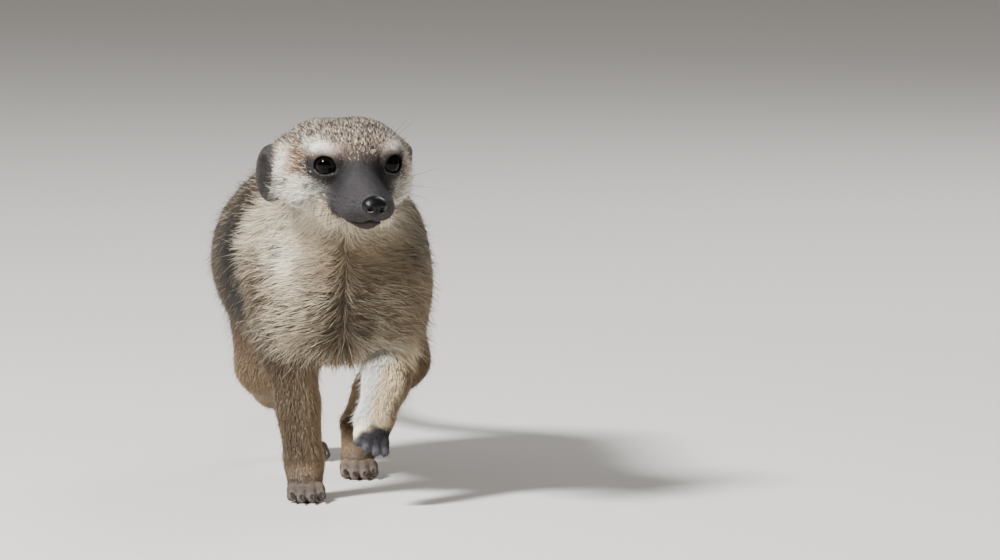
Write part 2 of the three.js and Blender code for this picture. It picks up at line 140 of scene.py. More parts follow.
# How many waves a ripple adds up, and how high they reach together.
RIPPLE_WAVES, RIPPLE_HEIGHT = 6, 3.2
# Which hairs are curved: those longer than this, and this share of them.
CURVED_FROM, CURVED_SHARE = 4.6, 0.26
# Shortest and longest hair, and the size of the locks that such hairs gather in.
LOCKS = ((0, 3, 0.7), (3, 6.5, 0.85), (6.5, 99, 2.6))
ROOT_DEPTH = 0.25
# The most hairs in a piece of short and of curved hairs, and the fewest worth a piece.
MOST_SHORT, MOST_CURVED, FEWEST = 48000, 19500, 50

# A hair's faces by its corners, and for each way of the bake map the step and the corners' steps.
HAIR_FACES = {
    4: [[0, 1, 3], [1, 2, 3], [2, 0, 3], [0, 2, 1]],
    7: [[0, 1, 4], [0, 4, 3], [1, 2, 5], [1, 5, 4], [2, 0, 3], [2, 3, 5],
        [3, 4, 6], [4, 5, 6], [5, 3, 6], [0, 2, 1]],
}
HAIR_PATCH = {
    4: ((0.0015, [0, 1, 2, 1]), (0.003, [0, 0, 0, 1])),
    7: ((0.001, [0, 1, 2, 0, 1, 2, 1]), (0.0015, [0, 0, 0, 1, 1, 1, 2])),
}

# The studio, in metres: name, place, power and size of each lamp.
LAMPS = (
    ("key_light", (-1.65, -1.2, 1.9), 195, 0.5),
    ("fill_light", (1.5, -1.4, 0.7), 2.5, 1.2),
    ("rim_light", (1.0, 1.4, 1.5), 20, 0.9),
)
LAMPS_AIM = (0, -0.17, 0.11)
WORLD_COLOUR, WORLD_STRENGTH = (0.93, 0.9, 0.86, 1), 0.2
FLOOR_RADIUS = 6
CAMERA_AZIMUTH, CAMERA_ELEVATION, CAMERA_DISTANCE = math.radians(-5), math.radians(5), 3.6
# The camera sees a point of the body, in millimetres, at this column and row of its frame.
AIM_POINT, AIM_COLUMN, AIM_ROW = (0, -100, 150), 350.1, 160.6
FRAME_WIDE, FRAME_HIGH, METRES_PER_PIXEL = 1000, 560, 0.43e-3
SENSOR = 36

TURN = np.array([[math.cos(HEAD_TURN), -math.sin(HEAD_TURN), 0],
                 [math.sin(HEAD_TURN), math.cos(HEAD_TURN), 0], [0, 0, 1]])
NOD = np.array([[1, 0, 0], [0, math.cos(HEAD_NOD), -math.sin(HEAD_NOD)],
                [0, math.sin(HEAD_NOD), math.cos(HEAD_NOD)]])
HEAD_AXES = TURN @ NOD


def to_head(points):
    return (points - HEAD_AT) @ HEAD_AXES


def from_head(points):
    return np.asarray(points, float) @ HEAD_AXES.T + HEAD_AT


def mirrored(head_points):
    """The head's points with both sides of the face laid on the animal's left."""
    return np.column_stack([np.abs(head_points[:, 0]), head_points[:, 1:]])


def centre_of(node):
    low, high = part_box(node)
    return np.array((low + high) / 2) / MM


# What the solids' own origin adds to the measures above.
SHIFT = (centre_of("eye_left") + centre_of("eye_right")) / 2 - from_head(EYE_AT * [0, 1, 1])
SHIFT[2] = 0


# ------------------------------------------------------------------ sizes and colours a user would change
def length(name, default, description):
    return FloatProperty(name=name, description=description, default=default * MM, min=0,
                         subtype="DISTANCE", unit="LENGTH", precision=5)


def shade(name, rgb, description):
    return FloatVectorProperty(name=name, description=description, size=3, min=0, max=1,
                               default=tuple(v / 255 for v in rgb), subtype="COLOR_GAMMA")


class MeerkatSizes(bpy.types.PropertyGroup):
    """Sizes of the coat and of the small parts"""

    back_hair: length("Back hair", 14.0, "Length of the hairs on the back and flanks")
    chest_hair: length("Chest hair", 12.0, "Length of the hairs on the chest and throat")
    leg_hair: length("Leg hair", 5.4, "Length of the hairs on the lower legs")
    face_hair: length("Face hair", 2.4, "Length of the hairs in front of the eyes")
    crown_hair: length("Crown hair", 3.3, "Length of the hairs on the crown")
    tail_hair: length("Tail hair", 8.0, "Length of the hairs on the tail")
    ear_hair: length("Ear hair", 1.8, "Length of the hairs on the ears")
    hair_width: length("Hair width", 0.37, "Width of a lock of hair on the back")
    eye_radius: length("Eye radius", 6.0, "Radius of an eyeball")
    lid_width: length("Lid opening width", 9.6, "Width of the opening between the lids")
    lid_height: length("Lid opening height", 7.7, "Height of the opening between the lids")
    lid_thickness: length("Lid thickness", 0.75, "Thickness of the lids over the eyeball")
    claw_radius: length("Claw radius", 1.15, "Radius of a claw at its root")
    whisker_length: length("Whisker length", 30.0, "Length of the longest whiskers")
    whisker_radius: length("Whisker radius", 0.09, "Radius of a whisker at its root")
    seed: IntProperty(name="Seed", description="Where each hair grows", default=7, min=0)


class MeerkatColours(bpy.types.PropertyGroup):
    """Colours of the coat and of the bare parts"""

    crown: shade("Crown", (130, 113, 100), "Grizzled top of the head")
    brow: shade("Brow", (226, 218, 206), "Pale patch over each eye")
    cheek: shade("Cheek", (246, 241, 230), "Pale sides of the face")
    temple: shade("Temple", (176, 138, 106), "Reddish patch between eye and ear")
    eye_patch: shade("Eye patch", (32, 29, 29), "Dark patch round each eye")
    muzzle: shade("Muzzle", (55, 52, 54), "Muzzle and upper lips")
    lip: shade("Lips and chin", (58, 48, 38), "Lower lips and chin")
    jaw: shade("Jaw fringe", (200, 178, 146), "Hairs that hang from the edge of the jaw")
    ruff: shade("Ruff", (232, 222, 200), "Pale hairs of the neck below the cheeks")
    throat: shade("Throat", (196, 180, 150), "Throat and upper chest")
    chest: shade("Chest", (166, 147, 121), "Chest between its pale tips")
    pale_tip: shade("Pale tips", (250, 236, 208), "Tips of the pale hairs")
    flank: shade("Flank", (41, 37, 34), "Sides of the body")
    back: shade("Back", (132, 114, 92), "Top of the back")
    band: shade("Back bands", (44, 36, 31), "Short dark bands across the back")
    belly: shade("Belly", (150, 126, 94), "Under side of the body")
    leg: shade("Legs", (154, 132, 107), "Outer sides of the legs")
    stripe: shade("Inner foreleg", (255, 252, 244), "Pale inner side of the forelegs")
    wrist: shade("Raised foreleg", (244, 226, 192), "Front of the raised foreleg beside the stripe")
    paw: shade("Paws", (84, 82, 87), "Tops of the feet")
    tail: shade("Tail", (140, 118, 88), "Most of the tail")
    tail_tip: shade("Tail tip", (36, 28, 24), "Last fifth of the tail")
    ear: shade("Ears", (56, 52, 51), "Outer and inner ears")
    claw: shade("Claws", (40, 36, 34), "Claws")
    nose: shade("Nose", (9, 9, 10), "Nose leather")
    iris: shade("Iris", (16, 12, 11), "Iris")
    floor: shade("Floor", (226, 222, 216), "Studio floor")


def setting_names(group):
    """The names of a property group's own settings."""
    return [key for key in group.bl_rna.properties.keys() if key not in ("rna_type", "name")]


def linear(colour):
    c = np.asarray(colour, float)
    return np.where(c <= 0.04045, c / 12.92, ((c + 0.055) / 1.055) ** 2.4)


# ------------------------------------------------------------------ distances to the body's forms
def ellipsoid(points, centre, radii):
    q = (points - centre) / radii
    k0 = np.sqrt((q * q).sum(1))
    k1 = np.sqrt(((q / radii) ** 2).sum(1))
    return k0 * (k0 - 1) / np.maximum(k1, 1e-9)


def round_cone(points, a, b, ra, rb):
    a = np.asarray(a, float)
    along = np.asarray(b, float) - a
    t = np.clip((points - a) @ along / (along @ along), 0, 1)
    away = points - a - t[:, None] * along
    return np.sqrt((away * away).sum(1)) - (ra + (rb - ra) * t)


def joined(soft, parts):
    """The union of forms, rounded where they meet."""
    total = parts[0]
    for part in parts[1:]:
        h = np.maximum(soft - np.abs(total - part), 0) / soft
        total = np.minimum(total, part) - h * h * soft / 4
    return total


def cut_by(soft, body, tool):
    """A form less a tool, with a rounded edge."""
    return -joined(soft, [-body, tool])


def forms(points, table):
    return [ellipsoid(points, np.array(f[0], float), np.array(f[1], float)) if len(f) == 2
            else round_cone(points, *f) for f in table]


def chain(points, line, radii):
    return [round_cone(points, a, b, ra, rb) for a, b, ra, rb in zip(line, line[1:], radii, radii[1:])]


def toe_lines(leg):
    """Start, knuckle and end of each toe of a foot, with the direction of its claw."""
    ball, tip, across = (np.array(leg[k], float) for k in ("ball", "tip", "across"))
    lines = []
    for n in range(TOES):
        fan = n / (TOES - 1) - 0.5
        sideways = across * fan * leg["spread"]
        start = ball + sideways * 0.62
        end = start + (tip + sideways - start) * (1 - 0.9 * fan * fan)
        knuckle = start + (end - start) * 0.55 + np.array([0, 0, leg["toe"] * 0.45])
        lines.append(np.array([start, knuckle, end]))
    return lines


def leg_form(points, leg):
    form = joined(3, chain(points, leg["line"], leg["radii"]))
    near = np.nonzero(((points - leg["ball"]) ** 2).sum(1) < FOOT_REACH ** 2)[0]
    if len(near):
        p = points[near]
        r = leg["radii"][-1] * 0.95
        foot = [round_cone(p, leg["line"][-1], leg["ball"], r, 6.6)]
        for line in toe_lines(leg):
            radii = [leg["toe"] * 1.12, leg["toe"] * 1.02, leg["toe"] * 0.82]
            foot.append(joined(1, chain(p, line, radii)))
        form[near] = joined(3, [form[near], joined(0.9, foot)])
    return form


def ear_form(head_points, side):
    mirror = np.array([side, 1, 1])
    whole = ellipsoid(head_points, EAR_AT * mirror, EAR_RADII)
    cup = ellipsoid(head_points, (EAR_AT + EAR_RADII * EAR_CUP) * mirror, EAR_RADII * EAR_CUP_RADII)
    fold = ellipsoid(head_points, (EAR_AT + EAR_FOLD) * mirror, np.array([2.0, 1.5, 6.0]))
    return joined(1.5, [cut_by(1.6, whole, cup), np.maximum(fold, whole)])


def distances(points):
    """Distance to the coat's outside, for the body's parts one by one."""
    q = to_head(points)
    head = np.sqrt((q ** 2).sum(1)) - 26
    ears = head.copy()
    near = np.nonzero(head < 42)[0]
    if len(near):
        q = q[near]
        head[near] = joined(5, forms(q, HEAD))
        ears[near] = np.minimum(ear_form(q, 1), ear_form(q, -1))
    parts = {
        "barrel": joined(10, [joined(18, forms(points, TRUNK)), joined(12, forms(points, NECK))]),
        "head": head,
        "tail": joined(0.5, chain(points, TAIL_LINE, TAIL_RADII)),
        "ears": ears,
    }
    for name, leg in LEGS.items():
        parts[name] = leg_form(points, leg)
    return parts


def outline(parts):
    """Distance to the outside of the whole coat."""
    torso = joined(10, [parts["barrel"], parts["head"], parts["tail"]])
    whole = joined(11, [torso] + [parts[name] for name in LEGS])
    return joined(2, [whole, parts["ears"]])


# ------------------------------------------------------------------ how the coat changes over the body
def ramp(value, low, high):
    """From 0 at low to 1 at high, eased at both ends."""
    t = np.clip((value - low) / (high - low), 0, 1)
    return t * t * (3 - 2 * t)


def spot(points, centre, radii, soft=0.35):
    """1 inside an ellipsoid and 0 outside it, with a soft edge."""
    k = np.sqrt(sum(((points[:, n] - centre[n]) / radii[n]) ** 2 for n in range(3)))
    return 1 - ramp(k, 1 - soft, 1 + soft)


def shares(parts):
    """How much each part owns of each point."""
    names = ["barrel", "head", "tail", "ears", *LEGS]
    d = np.stack([parts[n] for n in names], 1)
    d[:, names.index("ears")] -= 1.0
    w = np.exp(-(d - d.min(1, keepdims=True)) / 3.0)
    w /= w.sum(1, keepdims=True)
    return {n: w[:, i] for i, n in enumerate(names)}


def toward(plan, amount, *values):
    """A plan moved by an amount at each point to the values given."""
    return plan + amount[:, None] * (np.array(values) - plan)


def coat_plan(points, parts, sizes):
    """Depth, hair length, hair width and number of hairs per square millimetre at each point."""
    own = shares(parts)
    face, crown, chest, back, leg, tail, ear, wide = (
        getattr(sizes, n) / MM for n in ("face_hair", "crown_hair", "chest_hair", "back_hair",
                                         "leg_hair", "tail_hair", "ear_hair", "hair_width"))

    def flat(*values):
        return np.tile(np.array(values, float), (len(points), 1))

    m = mirrored(to_head(points))
    x, y, z = m.T
    eye = np.sqrt(((m - EYE_AT) ** 2).sum(1))
    head = flat(0.8, face, wide * 0.72, 5.6)
    for amount, *values in (
        (ramp(y, -26, -4), 1.9, crown, wide * 0.8, 5.6),
        (ramp(z, 4, 9) * (1 - ramp(y, -24, -4)), 1.1, crown * 0.75, wide * 0.76, 6.5),
        (ramp(-y, 22, 32), 0.4, face * 0.56, wide * 0.6, 8.5),
        (ramp(x, 17, 23) * ramp(y, -14, -6), 1.8, crown * 0.9, wide * 0.8, 5.0),
        (ramp(-z, 0, 9) * ramp(y, -26, -8) * ramp(x, 6, 14), 2.8, face * 3.7, wide * 0.86, 4.2),
        (spot(m, JAW_AT, JAW_RADII, 0.5), 1.4, face * 3.2, wide * 0.8, 5.0),
        (ramp(-z, 18, 20) * ramp(-y, 24, 30), 0.7, face, wide * 0.66, 7.0),
        (1 - ramp(eye, 8, 12), 0.45, face * 0.6, wide * 0.58, 8.0),
    ):
        head = toward(head, amount, *values)

    x, y, z = points.T
    barrel = flat(5.2, back, wide, 2.5)
    for amount, *values in (
        (ramp(-y, 52, 80), 4.6, chest, wide * 0.94, 3.1),
        (ramp(-z, -76, -60) * ramp(y, -60, -40), 4.2, back * 0.8, wide * 1.1, 1.9),
        (spot(points, (-2, -94, 114), (20, 22, 12), 0.5), 3.6, chest * 0.6, wide * 0.86, 4.2),
        (ramp(z, 128, 144) * ramp(-y, 60, 84), 3.4, crown * 2.5, wide * 0.9, 3.2),
    ):
        barrel = toward(barrel, amount, *values)

    plan = own["head"][:, None] * head + own["barrel"][:, None] * barrel
    plan += own["ears"][:, None] * np.array([0.35, ear, wide * 0.64, 6.0])
    tuft = toward(flat(2.3, tail, wide, 2.8), ramp(y, 285, 320), 2.3, tail * 1.3, wide, 3.4)
    plan += own["tail"][:, None] * tuft
    for name, shape in LEGS.items():
        up = ramp(z, 50 if name.startswith("fore") else 42, 84)
        foot = ramp(-z, -42, -35) * ramp(-y, 88, 96) if name == "foreleg_left" else ramp(-z, -24, -12)
        limb = toward(flat(2.0, leg, wide * 0.84, 3.5), up, 5.0, back * 0.8, wide * 0.98, 2.7)
        limb = toward(limb, foot, 0.9, leg * 0.4, wide * 0.7, 5.2)
        toes = np.full(len(points), 9.0)
        near = np.nonzero(((points - shape["ball"]) ** 2).sum(1) < FOOT_REACH ** 2)[0]
        if len(near):
            close = points[near]
            toes[near] = np.min([round_cone(close, t[1], t[2], 3, 3) for t in toe_lines(shape)], axis=0)
        limb = toward(limb, ramp(-toes, -1.8, -0.2), 0.4, leg * 0.24, wide * 0.62, 6.0)
        plan += own[name][:, None] * limb
    plan[:, 0] *= ramp(z, -0.5, 3)
    return plan, own


# ------------------------------------------------------------------ folds, lids and mouth on the skin
def above_mouth(head_points):
    """Height over the line where the lips meet."""
    x, y, z = head_points.T
    rise = 0.5 * ramp(y, -36, -18) + 1.1 * np.exp(-((x / 2.2) ** 2)) * ramp(-y, 38, 43)
    return z - (LIPS_HEIGHT + rise)


def off_mouth(head_points):
    """Distance to the line where the lips meet."""
    return np.abs(above_mouth(head_points)) + np.maximum(head_points[:, 1] + 20, 0)


def eye_axes(side):
    """Across, up and out of an eye, in the head's frame."""
    out = np.array([side * 0.46, -0.88, 0.1])
    out /= np.linalg.norm(out)
    across = np.cross([0, 0, 1], out)
    across /= np.linalg.norm(across)
    return across, np.cross(out, across), out


def lid_coordinates(head_points, side):
    q = head_points - EYE_AT * [side, 1, 1]
    across, up, out = eye_axes(side)
    return q @ across, q @ up, q @ out


def lid_opening(head_points, side, sizes):
    """Below zero inside the almond between the lids."""
    x, y, z = lid_coordinates(head_points, side)
    a, b = sizes.lid_width / MM / 2, sizes.lid_height / MM / 2
    inward = np.tanh(-side * x / 3)
    y = y + 0.9 * ramp(inward * np.abs(x), 2.0, a)
    k = np.sqrt((x / a) ** 2 + (y / b) ** 2)
    return np.where(z > 1.2, (k - 1) * b, np.maximum((k - 1) * b, 1.2 - z))


def skin_form(points, sizes):
    """Distance to the skin, with its mouth line, philtrum, lids and the cut of each eye."""
    parts = distances(points)
    plan, own = coat_plan(points, parts, sizes)
    d = outline(parts) + plan[:, 0]
    q = to_head(points)
    d += own["head"] * 0.9 * np.exp(-((off_mouth(q) / 0.6) ** 2))
    philtrum = round_cone(q, (0, -50.5, -13), (0, -47, -16), 0, 0)
    d += own["head"] * 0.5 * np.exp(-((philtrum / 0.6) ** 2))
    near = np.abs(q[:, 0]) < 24
    near &= (np.abs(q[:, 1] + 20) < 16) & (np.abs(q[:, 2] - 3) < 14)
    if near.any():
        face = d[near]
        p = q[near]
        for side in (1, -1):
            x, y, z = lid_coordinates(p, side)
            ball = np.sqrt(x * x + y * y + z * z)
            lid = ball - (sizes.eye_radius + sizes.lid_thickness) / MM
            face = joined(2.6, [face, lid])
            crease = np.abs(ball - 8.6) + np.maximum(2 - z, 0) * 2 + np.maximum(1 - y, 0)
            face += 0.35 * np.exp(-((crease / 0.7) ** 2))
            face = cut_by(0.5, face, lid_opening(p, side, sizes))
        d[near] = face
    return np.maximum(d, 0.05 - points[:, 2])


def slope(form, points, value):
    """The way a form's value rises, and the square of how fast."""
    step = 0.04
    g = np.stack([(form(points + step * axis) - value) / step for axis in np.eye(3)], 1)
    return g, (g * g).sum(1) + 1e-6


def settle(form, points, rounds, reach):
    """Moves points on to the zero level of a form."""
    points = points.copy()
    for _ in range(rounds):
        value = form(points)
        g, steep = slope(form, points, value)
        move = -g * (value / steep)[:, None]
        size = np.sqrt((move * move).sum(1))
        points += move * np.minimum(1, reach / np.maximum(size, 1e-9))[:, None]
    return points


def grid_values(form, low, high, cell):
    """A form's values on a grid, read in full only near the surface. The grid's own edge is outside."""
    block = 4
    counts = [int(math.ceil((h - l) / cell / block)) * block + 1 for l, h in zip(low, high)]
    axes = [l + cell * np.arange(n) for l, n in zip(low, counts)]
    coarse = np.stack(np.meshgrid(*[a[::block] for a in axes], indexing="ij"), -1)
    far = form(coarse.reshape(-1, 3)).reshape(coarse.shape[:3])
    value = np.repeat(np.repeat(np.repeat(far, block, 0), block, 1), block, 2)
    value = value[:counts[0], :counts[1], :counts[2]].copy()
    near = np.nonzero(np.abs(value) < cell * block * 1.9)
    value[near] = form(np.stack([axes[n][near[n]] for n in range(3)], 1))
    value[[0, -1]] = value[:, [0, -1]] = cell
    value[:, :, [0, -1]] = cell
    return value


def crossing_offsets(v, corners):
    """For cells with the values v at their corners, the mean place where the surface crosses their edges."""
    total = np.zeros((len(v), 3))
    count = np.zeros(len(v))
    for a in range(8):
        for bit in (1, 2, 4):
            if a & bit:
                continue
            b = a | bit
            crossed = (v[:, a] < 0) != (v[:, b] < 0)
            gap = np.where(crossed, v[:, a] - v[:, b], 1)
            t = np.where(crossed, v[:, a] / gap, 0)[:, None]
            ca, cb = np.array(corners[a], float), np.array(corners[b], float)
            total += np.where(crossed[:, None], ca + (cb - ca) * t, 0)
            count += crossed
    return total / count[:, None]


def net_of_form(form, low, high, cell):
    """Surface nets: a point in each cell that the surface crosses, and a face over each crossed edge."""
    value = grid_values(form, low, high, cell)
    inside = value < 0
    corners = [(c & 1, (c >> 1) & 1, c >> 2) for c in range(8)]
    n = [c - 1 for c in value.shape]
    number = sum(inside[a:a + n[0], b:b + n[1], c:c + n[2]].astype(np.int8) for a, b, c in corners)
    cells = np.nonzero((number > 0) & (number < 8))
    index = np.full(number.shape, -1, np.int64)
    index[cells] = np.arange(len(cells[0]))
    v = np.stack([value[cells[0] + a, cells[1] + b, cells[2] + c] for a, b, c in corners], 1)
    at = np.stack(cells, 1) + crossing_offsets(v, corners)
    points = np.array(low) + at * cell
    quads = []
    for axis in range(3):
        order = (axis, (axis + 1) % 3, (axis + 2) % 3)
        a = np.transpose(inside, order)
        idx = np.transpose(index, order)
        i, j, k = np.nonzero(a[:-1, 1:-1, 1:-1] != a[1:, 1:-1, 1:-1])
        j, k = j + 1, k + 1
        ring = np.stack([idx[i, j - 1, k - 1], idx[i, j, k - 1], idx[i, j, k], idx[i, j - 1, k]], 1)
        outward = a[i, j, k]
        quads.append(np.where(outward[:, None], ring, ring[:, ::-1]))
    return points, np.concatenate(quads)


# ------------------------------------------------------------------ markings, with painted light and shade
def ripple(points, wavelength, seed):
    """Smooth noise from -1 to 1."""
    rng = np.random.default_rng(seed)
    total = np.zeros(len(points))
    for _ in range(RIPPLE_WAVES):
        direction = rng.normal(size=3)
        direction *= 2 * math.pi / wavelength / np.linalg.norm(direction) * rng.uniform(0.6, 1.6)
        total += np.sin(points @ direction + rng.uniform(0, 6.28))
    return total / RIPPLE_HEIGHT


def painted(tone, ground, layers):
    """A ground colour with one layer of colour after another over it."""
    colour = np.tile(tone[ground], (len(layers[0][1]), 1))
    for key, amount in layers:
        colour = colour + (tone[key] - colour) * np.clip(amount, 0, 1)[:, None]
    return colour


def head_tones(q, m, on_ear, tone):
    """The head's colour, with painted shade on its far side, and how grizzled it is."""
    x, y, z = m.T
    above = above_mouth(m)
    bridge = ramp(-y, 15, 24) * (1 - ramp(x, 13, 19)) * (1 - ramp(z, 3.5, 8))
    head = painted(tone, "crown", [
        # painted shade: the far side of the crown, away from the key light, darkened towards the flank
        # colour
        ("flank", ramp(q[:, 0], 10, 24) * ramp(q[:, 2], 3, 11) * 0.45),
        ("cheek", ramp(-z - 0.1 * x, -5, 3) * ramp(x, 7, 15)),
        ("temple", spot(m, (24.5, -5.5, 2.5), (6.5, 10, 7.5), 0.7) * 0.8),
        ("brow", spot(m, (17.5, -15, 11.4 + 0.16 * (x - 17)), (8.5, 10, 2.8), 0.65)),
        # the pale tuft in front of each ear, dimmed on the far side as painted shade
        ("brow", spot(m, (28, 2, 1), (4, 4.5, 9), 0.55) * np.where(q[:, 0] < 0, 0.9, 0.3)),
        ("muzzle", bridge),
        ("muzzle", ramp(-y, 23, 29)),
        ("muzzle", spot(m, (15.5, -19.5, -7), (4.5, 7, 6.5), 0.7) * 0.8),
        ("ruff", ramp(-z, 15, 20) * ramp(y, -26, -14)),
        ("lip", ramp(-above, 0.2, 1.4) * ramp(-y, 14, 22)),
        ("jaw", spot(m, JAW_AT + [1, 2, 0.5], JAW_RADII, 0.5) * (1 - ramp(-y, 23, 28))),
        ("eye_patch", spot(m, (14.8, -18.6, 2.0), (10.6, 16, 7.0), 0.35)),
        ("eye_patch", spot(m, (10.5, -25, -4.0), (4.0, 7, 6.5), 0.7) * 0.6),
        ("eye_patch", spot(m, (8.0, -26, 3.5), (2.8, 6, 4.5), 0.7) * 0.6),
        ("eye_patch", np.exp(-(((above - 0.2) / 0.9) ** 2)) * ramp(-y, 17, 21) * 0.75),
        ("ear", on_ear),
    ])
    near_eye = 1 - ramp(np.sqrt(((m - EYE_AT) ** 2).sum(1)), 9, 13)
    grizzle = 1 - (0.9 * bridge + 0.9 * ramp(-y, 23, 29) + 0.8 * near_eye)
    return head, grizzle.clip(0, 1) * (1 - on_ear)


def barrel_zones(points, normals):
    """Where the trunk and neck change: the lit chest, its middle and parting, the back's bands and more."""
    x, y, z = points.T
    shoulder = spot(points, (-46, -55, 112), (20, 40, 30), 0.5)
    front = ramp(-y, 57, 68) * ramp(-normals[:, 1], -0.02, 0.3)
    front *= 1 - ramp(-x + ripple(points, 9, 15), 40, 43.5)
    middle = x + 2 + 1.5 * ripple(points, 30, 4)
    wave = np.sin((y + 3 * ripple(points, 26, 5)) / 17 * 2 * math.pi)
    return SimpleNamespace(
        high=ramp(normals[:, 2], 0.05, 0.8) * (1 - 0.7 * shoulder),
        front=front,
        middle=middle,
        parting=np.exp(-((middle / (1.6 + 3 * ramp(-z, -92, -84))) ** 2)) * (1 - ramp(z, 116, 128)),
        armpit=ramp(0.64 * (87 - z) - x - 41, -2, 3) * ramp(-z, -98, -88),
        streak=spot(points, (-34.5, -75, 97), (4.6, 25, 13), 0.7),
        band=ramp(wave, 0.0, 0.5) * ramp(y, -16, 14) * ramp(normals[:, 2], 0.3, 0.7))


def barrel_tones(points, normals, near_head, zones, tone):
    """The colour of the trunk and neck, with painted light on the chest's lit side and painted shade on its
    shaded side, in its middle and under the chin.
    """
    x, y, z = points.T
    front = zones.front
    hollow = np.exp(-((zones.middle / 15) ** 2)) * (1 - ramp(z, 100, 114))
    collar = near_head * ramp(-normals[:, 1], -0.5, 0.1) * ramp(-z, -146, -138)
    behind_ears = ramp(np.abs(x), 24, 32) * spot(points, (0, -62, 140), (60, 20, 14), 0.5)
    return painted(tone, "flank", [
        ("back", np.maximum(zones.high, 0.6 * ramp(y, -30, 25))),
        ("belly", ramp(-normals[:, 2], 0.45, 0.85)),
        ("chest", front),
        ("throat", front * ramp(z, 98, 120) * 0.75),
        # painted shade: the chest's side away from the key light, darkened towards the flank colour
        ("flank", front * ramp(x, 4, 26) * 0.36),
        # painted light: the chest's lit side made paler towards the ruff colour
        ("ruff", front * ramp(-x, 20, 36) * 0.35),
        # the lower middle of the chest darkened: partly its dark roots, partly painted shade in its hollow
        ("flank", front * hollow * 0.45),
        # painted shade: the right armpit, where the foreleg meets the chest, darkened towards the flank
        # colour
        ("flank", front * zones.armpit * 0.85),
        # painted shade: a dark patch on the shaded shoulder and side of the neck
        ("flank", spot(points, (31, -70, 118), (13, 30, 18), 0.5) * 0.8),
        # the pale ruff under the head, weaker on the shaded side as painted shade
        ("ruff", collar * (1 - 0.6 * ramp(x, 4, 18))),
        # painted light: a pale patch on the lit side of the neck
        ("ruff", spot(points, (-27, -82, 124), (10, 18, 14), 0.5) * 0.9),
        ("band", behind_ears * 0.6),
        # painted highlight: a pale patch with a whiter strip inside it, on the lit side of the throat
        ("ruff", spot(points, (-24, -90, 108), (7.5, 20, 13), 0.6)),
        ("stripe", spot(points, (-23, -90, 108), (5, 20, 11), 0.6) * 0.5),
        ("temple", zones.streak * 0.4),
        ("jaw", zones.streak * 0.6),
        # painted shadow: the throat under the chin, where the head's shadow falls, darkened towards the
        # chest colour
        ("chest", spot(points, (2, -94, 113), (22, 22, 12), 0.6) * 0.6),
        # the parting and the hollow between the forelegs darkened: partly the dark roots showing, partly
        # painted shade
        ("flank", front * zones.parting * 0.25),
        ("band", spot(points, (-2, -84, 80), (8, 18, 9), 0.6) * 0.25),
        ("stripe", spot(points, *PALE_ELBOW) * 0.85),
        ("band", zones.band * 0.85),
        ("crown", ramp(z, 128, 142) * ramp(-y, 58, 78) * (1 - front)),
    ])


def ear_tones(m, ear_front, tone):
    """The ears' colour, with painted shade in the hollow, and lighter on the fold and the rim."""
    hollow = ellipsoid(m, EAR_AT + EAR_RADII * EAR_CUP, EAR_RADII * EAR_CUP_RADII)
    fold = spot(m, EAR_AT + EAR_FOLD, (2.4, 2.0, 6.2), 0.4)
    # painted shade darkens the ear's hollow; the fold and the back rim are made lighter
    light = (1 - 0.6 * (1 - ramp(hollow, 0.2, 1.2))) * (1 + 0.9 * fold + 0.7 * ramp(m[:, 1], 13, 20))
    ears = tone["ear"] * light[:, None]
    pale = (1 - ramp(m[:, 1] - ear_front, -1.2, 0.4)) * 0.8
    return ears + (tone["cheek"] - ears) * np.clip(pale, 0, 1)[:, None]


def leg_tones(name, shape, points, normals, tone):
    """The colour of a leg, with painted shade between the toes, and how much of each point is foot."""
    x, _, z = points.T
    inner = normals[:, 0] * (1 if name.endswith("right") else -1)
    foot = (1 - ramp(z, 4, 14)) * 0.6
    if name == "foreleg_left":
        bend = 0.05 * (x - 9) ** 2
        foot = 1 - ramp(z - 0.25 * (x - 9) + 1.2 * ripple(points, 7, 12) + bend, 33.5, 37)
        layers = [
            ("wrist", ramp(-normals[:, 1] + 0.4 * inner, 0.0, 0.45) * (1 - ramp(z, 66, 78))),
            ("stripe", ramp(inner, 0.05, 0.35) * ramp(z, 30, 40) * (1 - ramp(z, 72, 84))),
            ("stripe", spot(points, *PALE_ELBOW) * 0.85),
        ]
    elif name == "foreleg_right":
        rows = np.sin((z + 1.5 * ripple(points, 12, 6)) / 2.2 * 2 * math.pi)
        outer = 1 - ramp(inner, 0.1, 0.5)
        layers = [
            # the outer side of this leg is greyer, and darker still towards the shoulder as painted shade
            ("flank", (1 - ramp(inner, -0.3, 0.5)) * (0.3 + 0.4 * ramp(z, 48, 66))),
            ("belly", ramp(inner, 0.3, 0.9) * 0.5),
            ("band", ramp(rows, 0.0, 0.8) * outer * (1 - ramp(z, 52, 66)) * 0.3),
        ]
    else:
        layers = [("belly", ramp(inner, 0.2, 0.8) * 0.5), ("flank", ramp(z, 50, 80))]
    leg = painted(tone, "leg", layers + [("paw", foot)])
    near = np.nonzero(((points - shape["ball"]) ** 2).sum(1) < 20 ** 2)[0]
    if len(near):
        # painted shade in the gaps between the toes
        toes = np.min([round_cone(points[near], t[0], t[2], 0, 0) for t in toe_lines(shape)], axis=0)
        gap = ramp(toes, shape["toe"] * 0.62, shape["toe"] * 0.95)
        leg[near] *= (1 - 0.6 * gap * foot[near])[:, None]
    return leg, foot


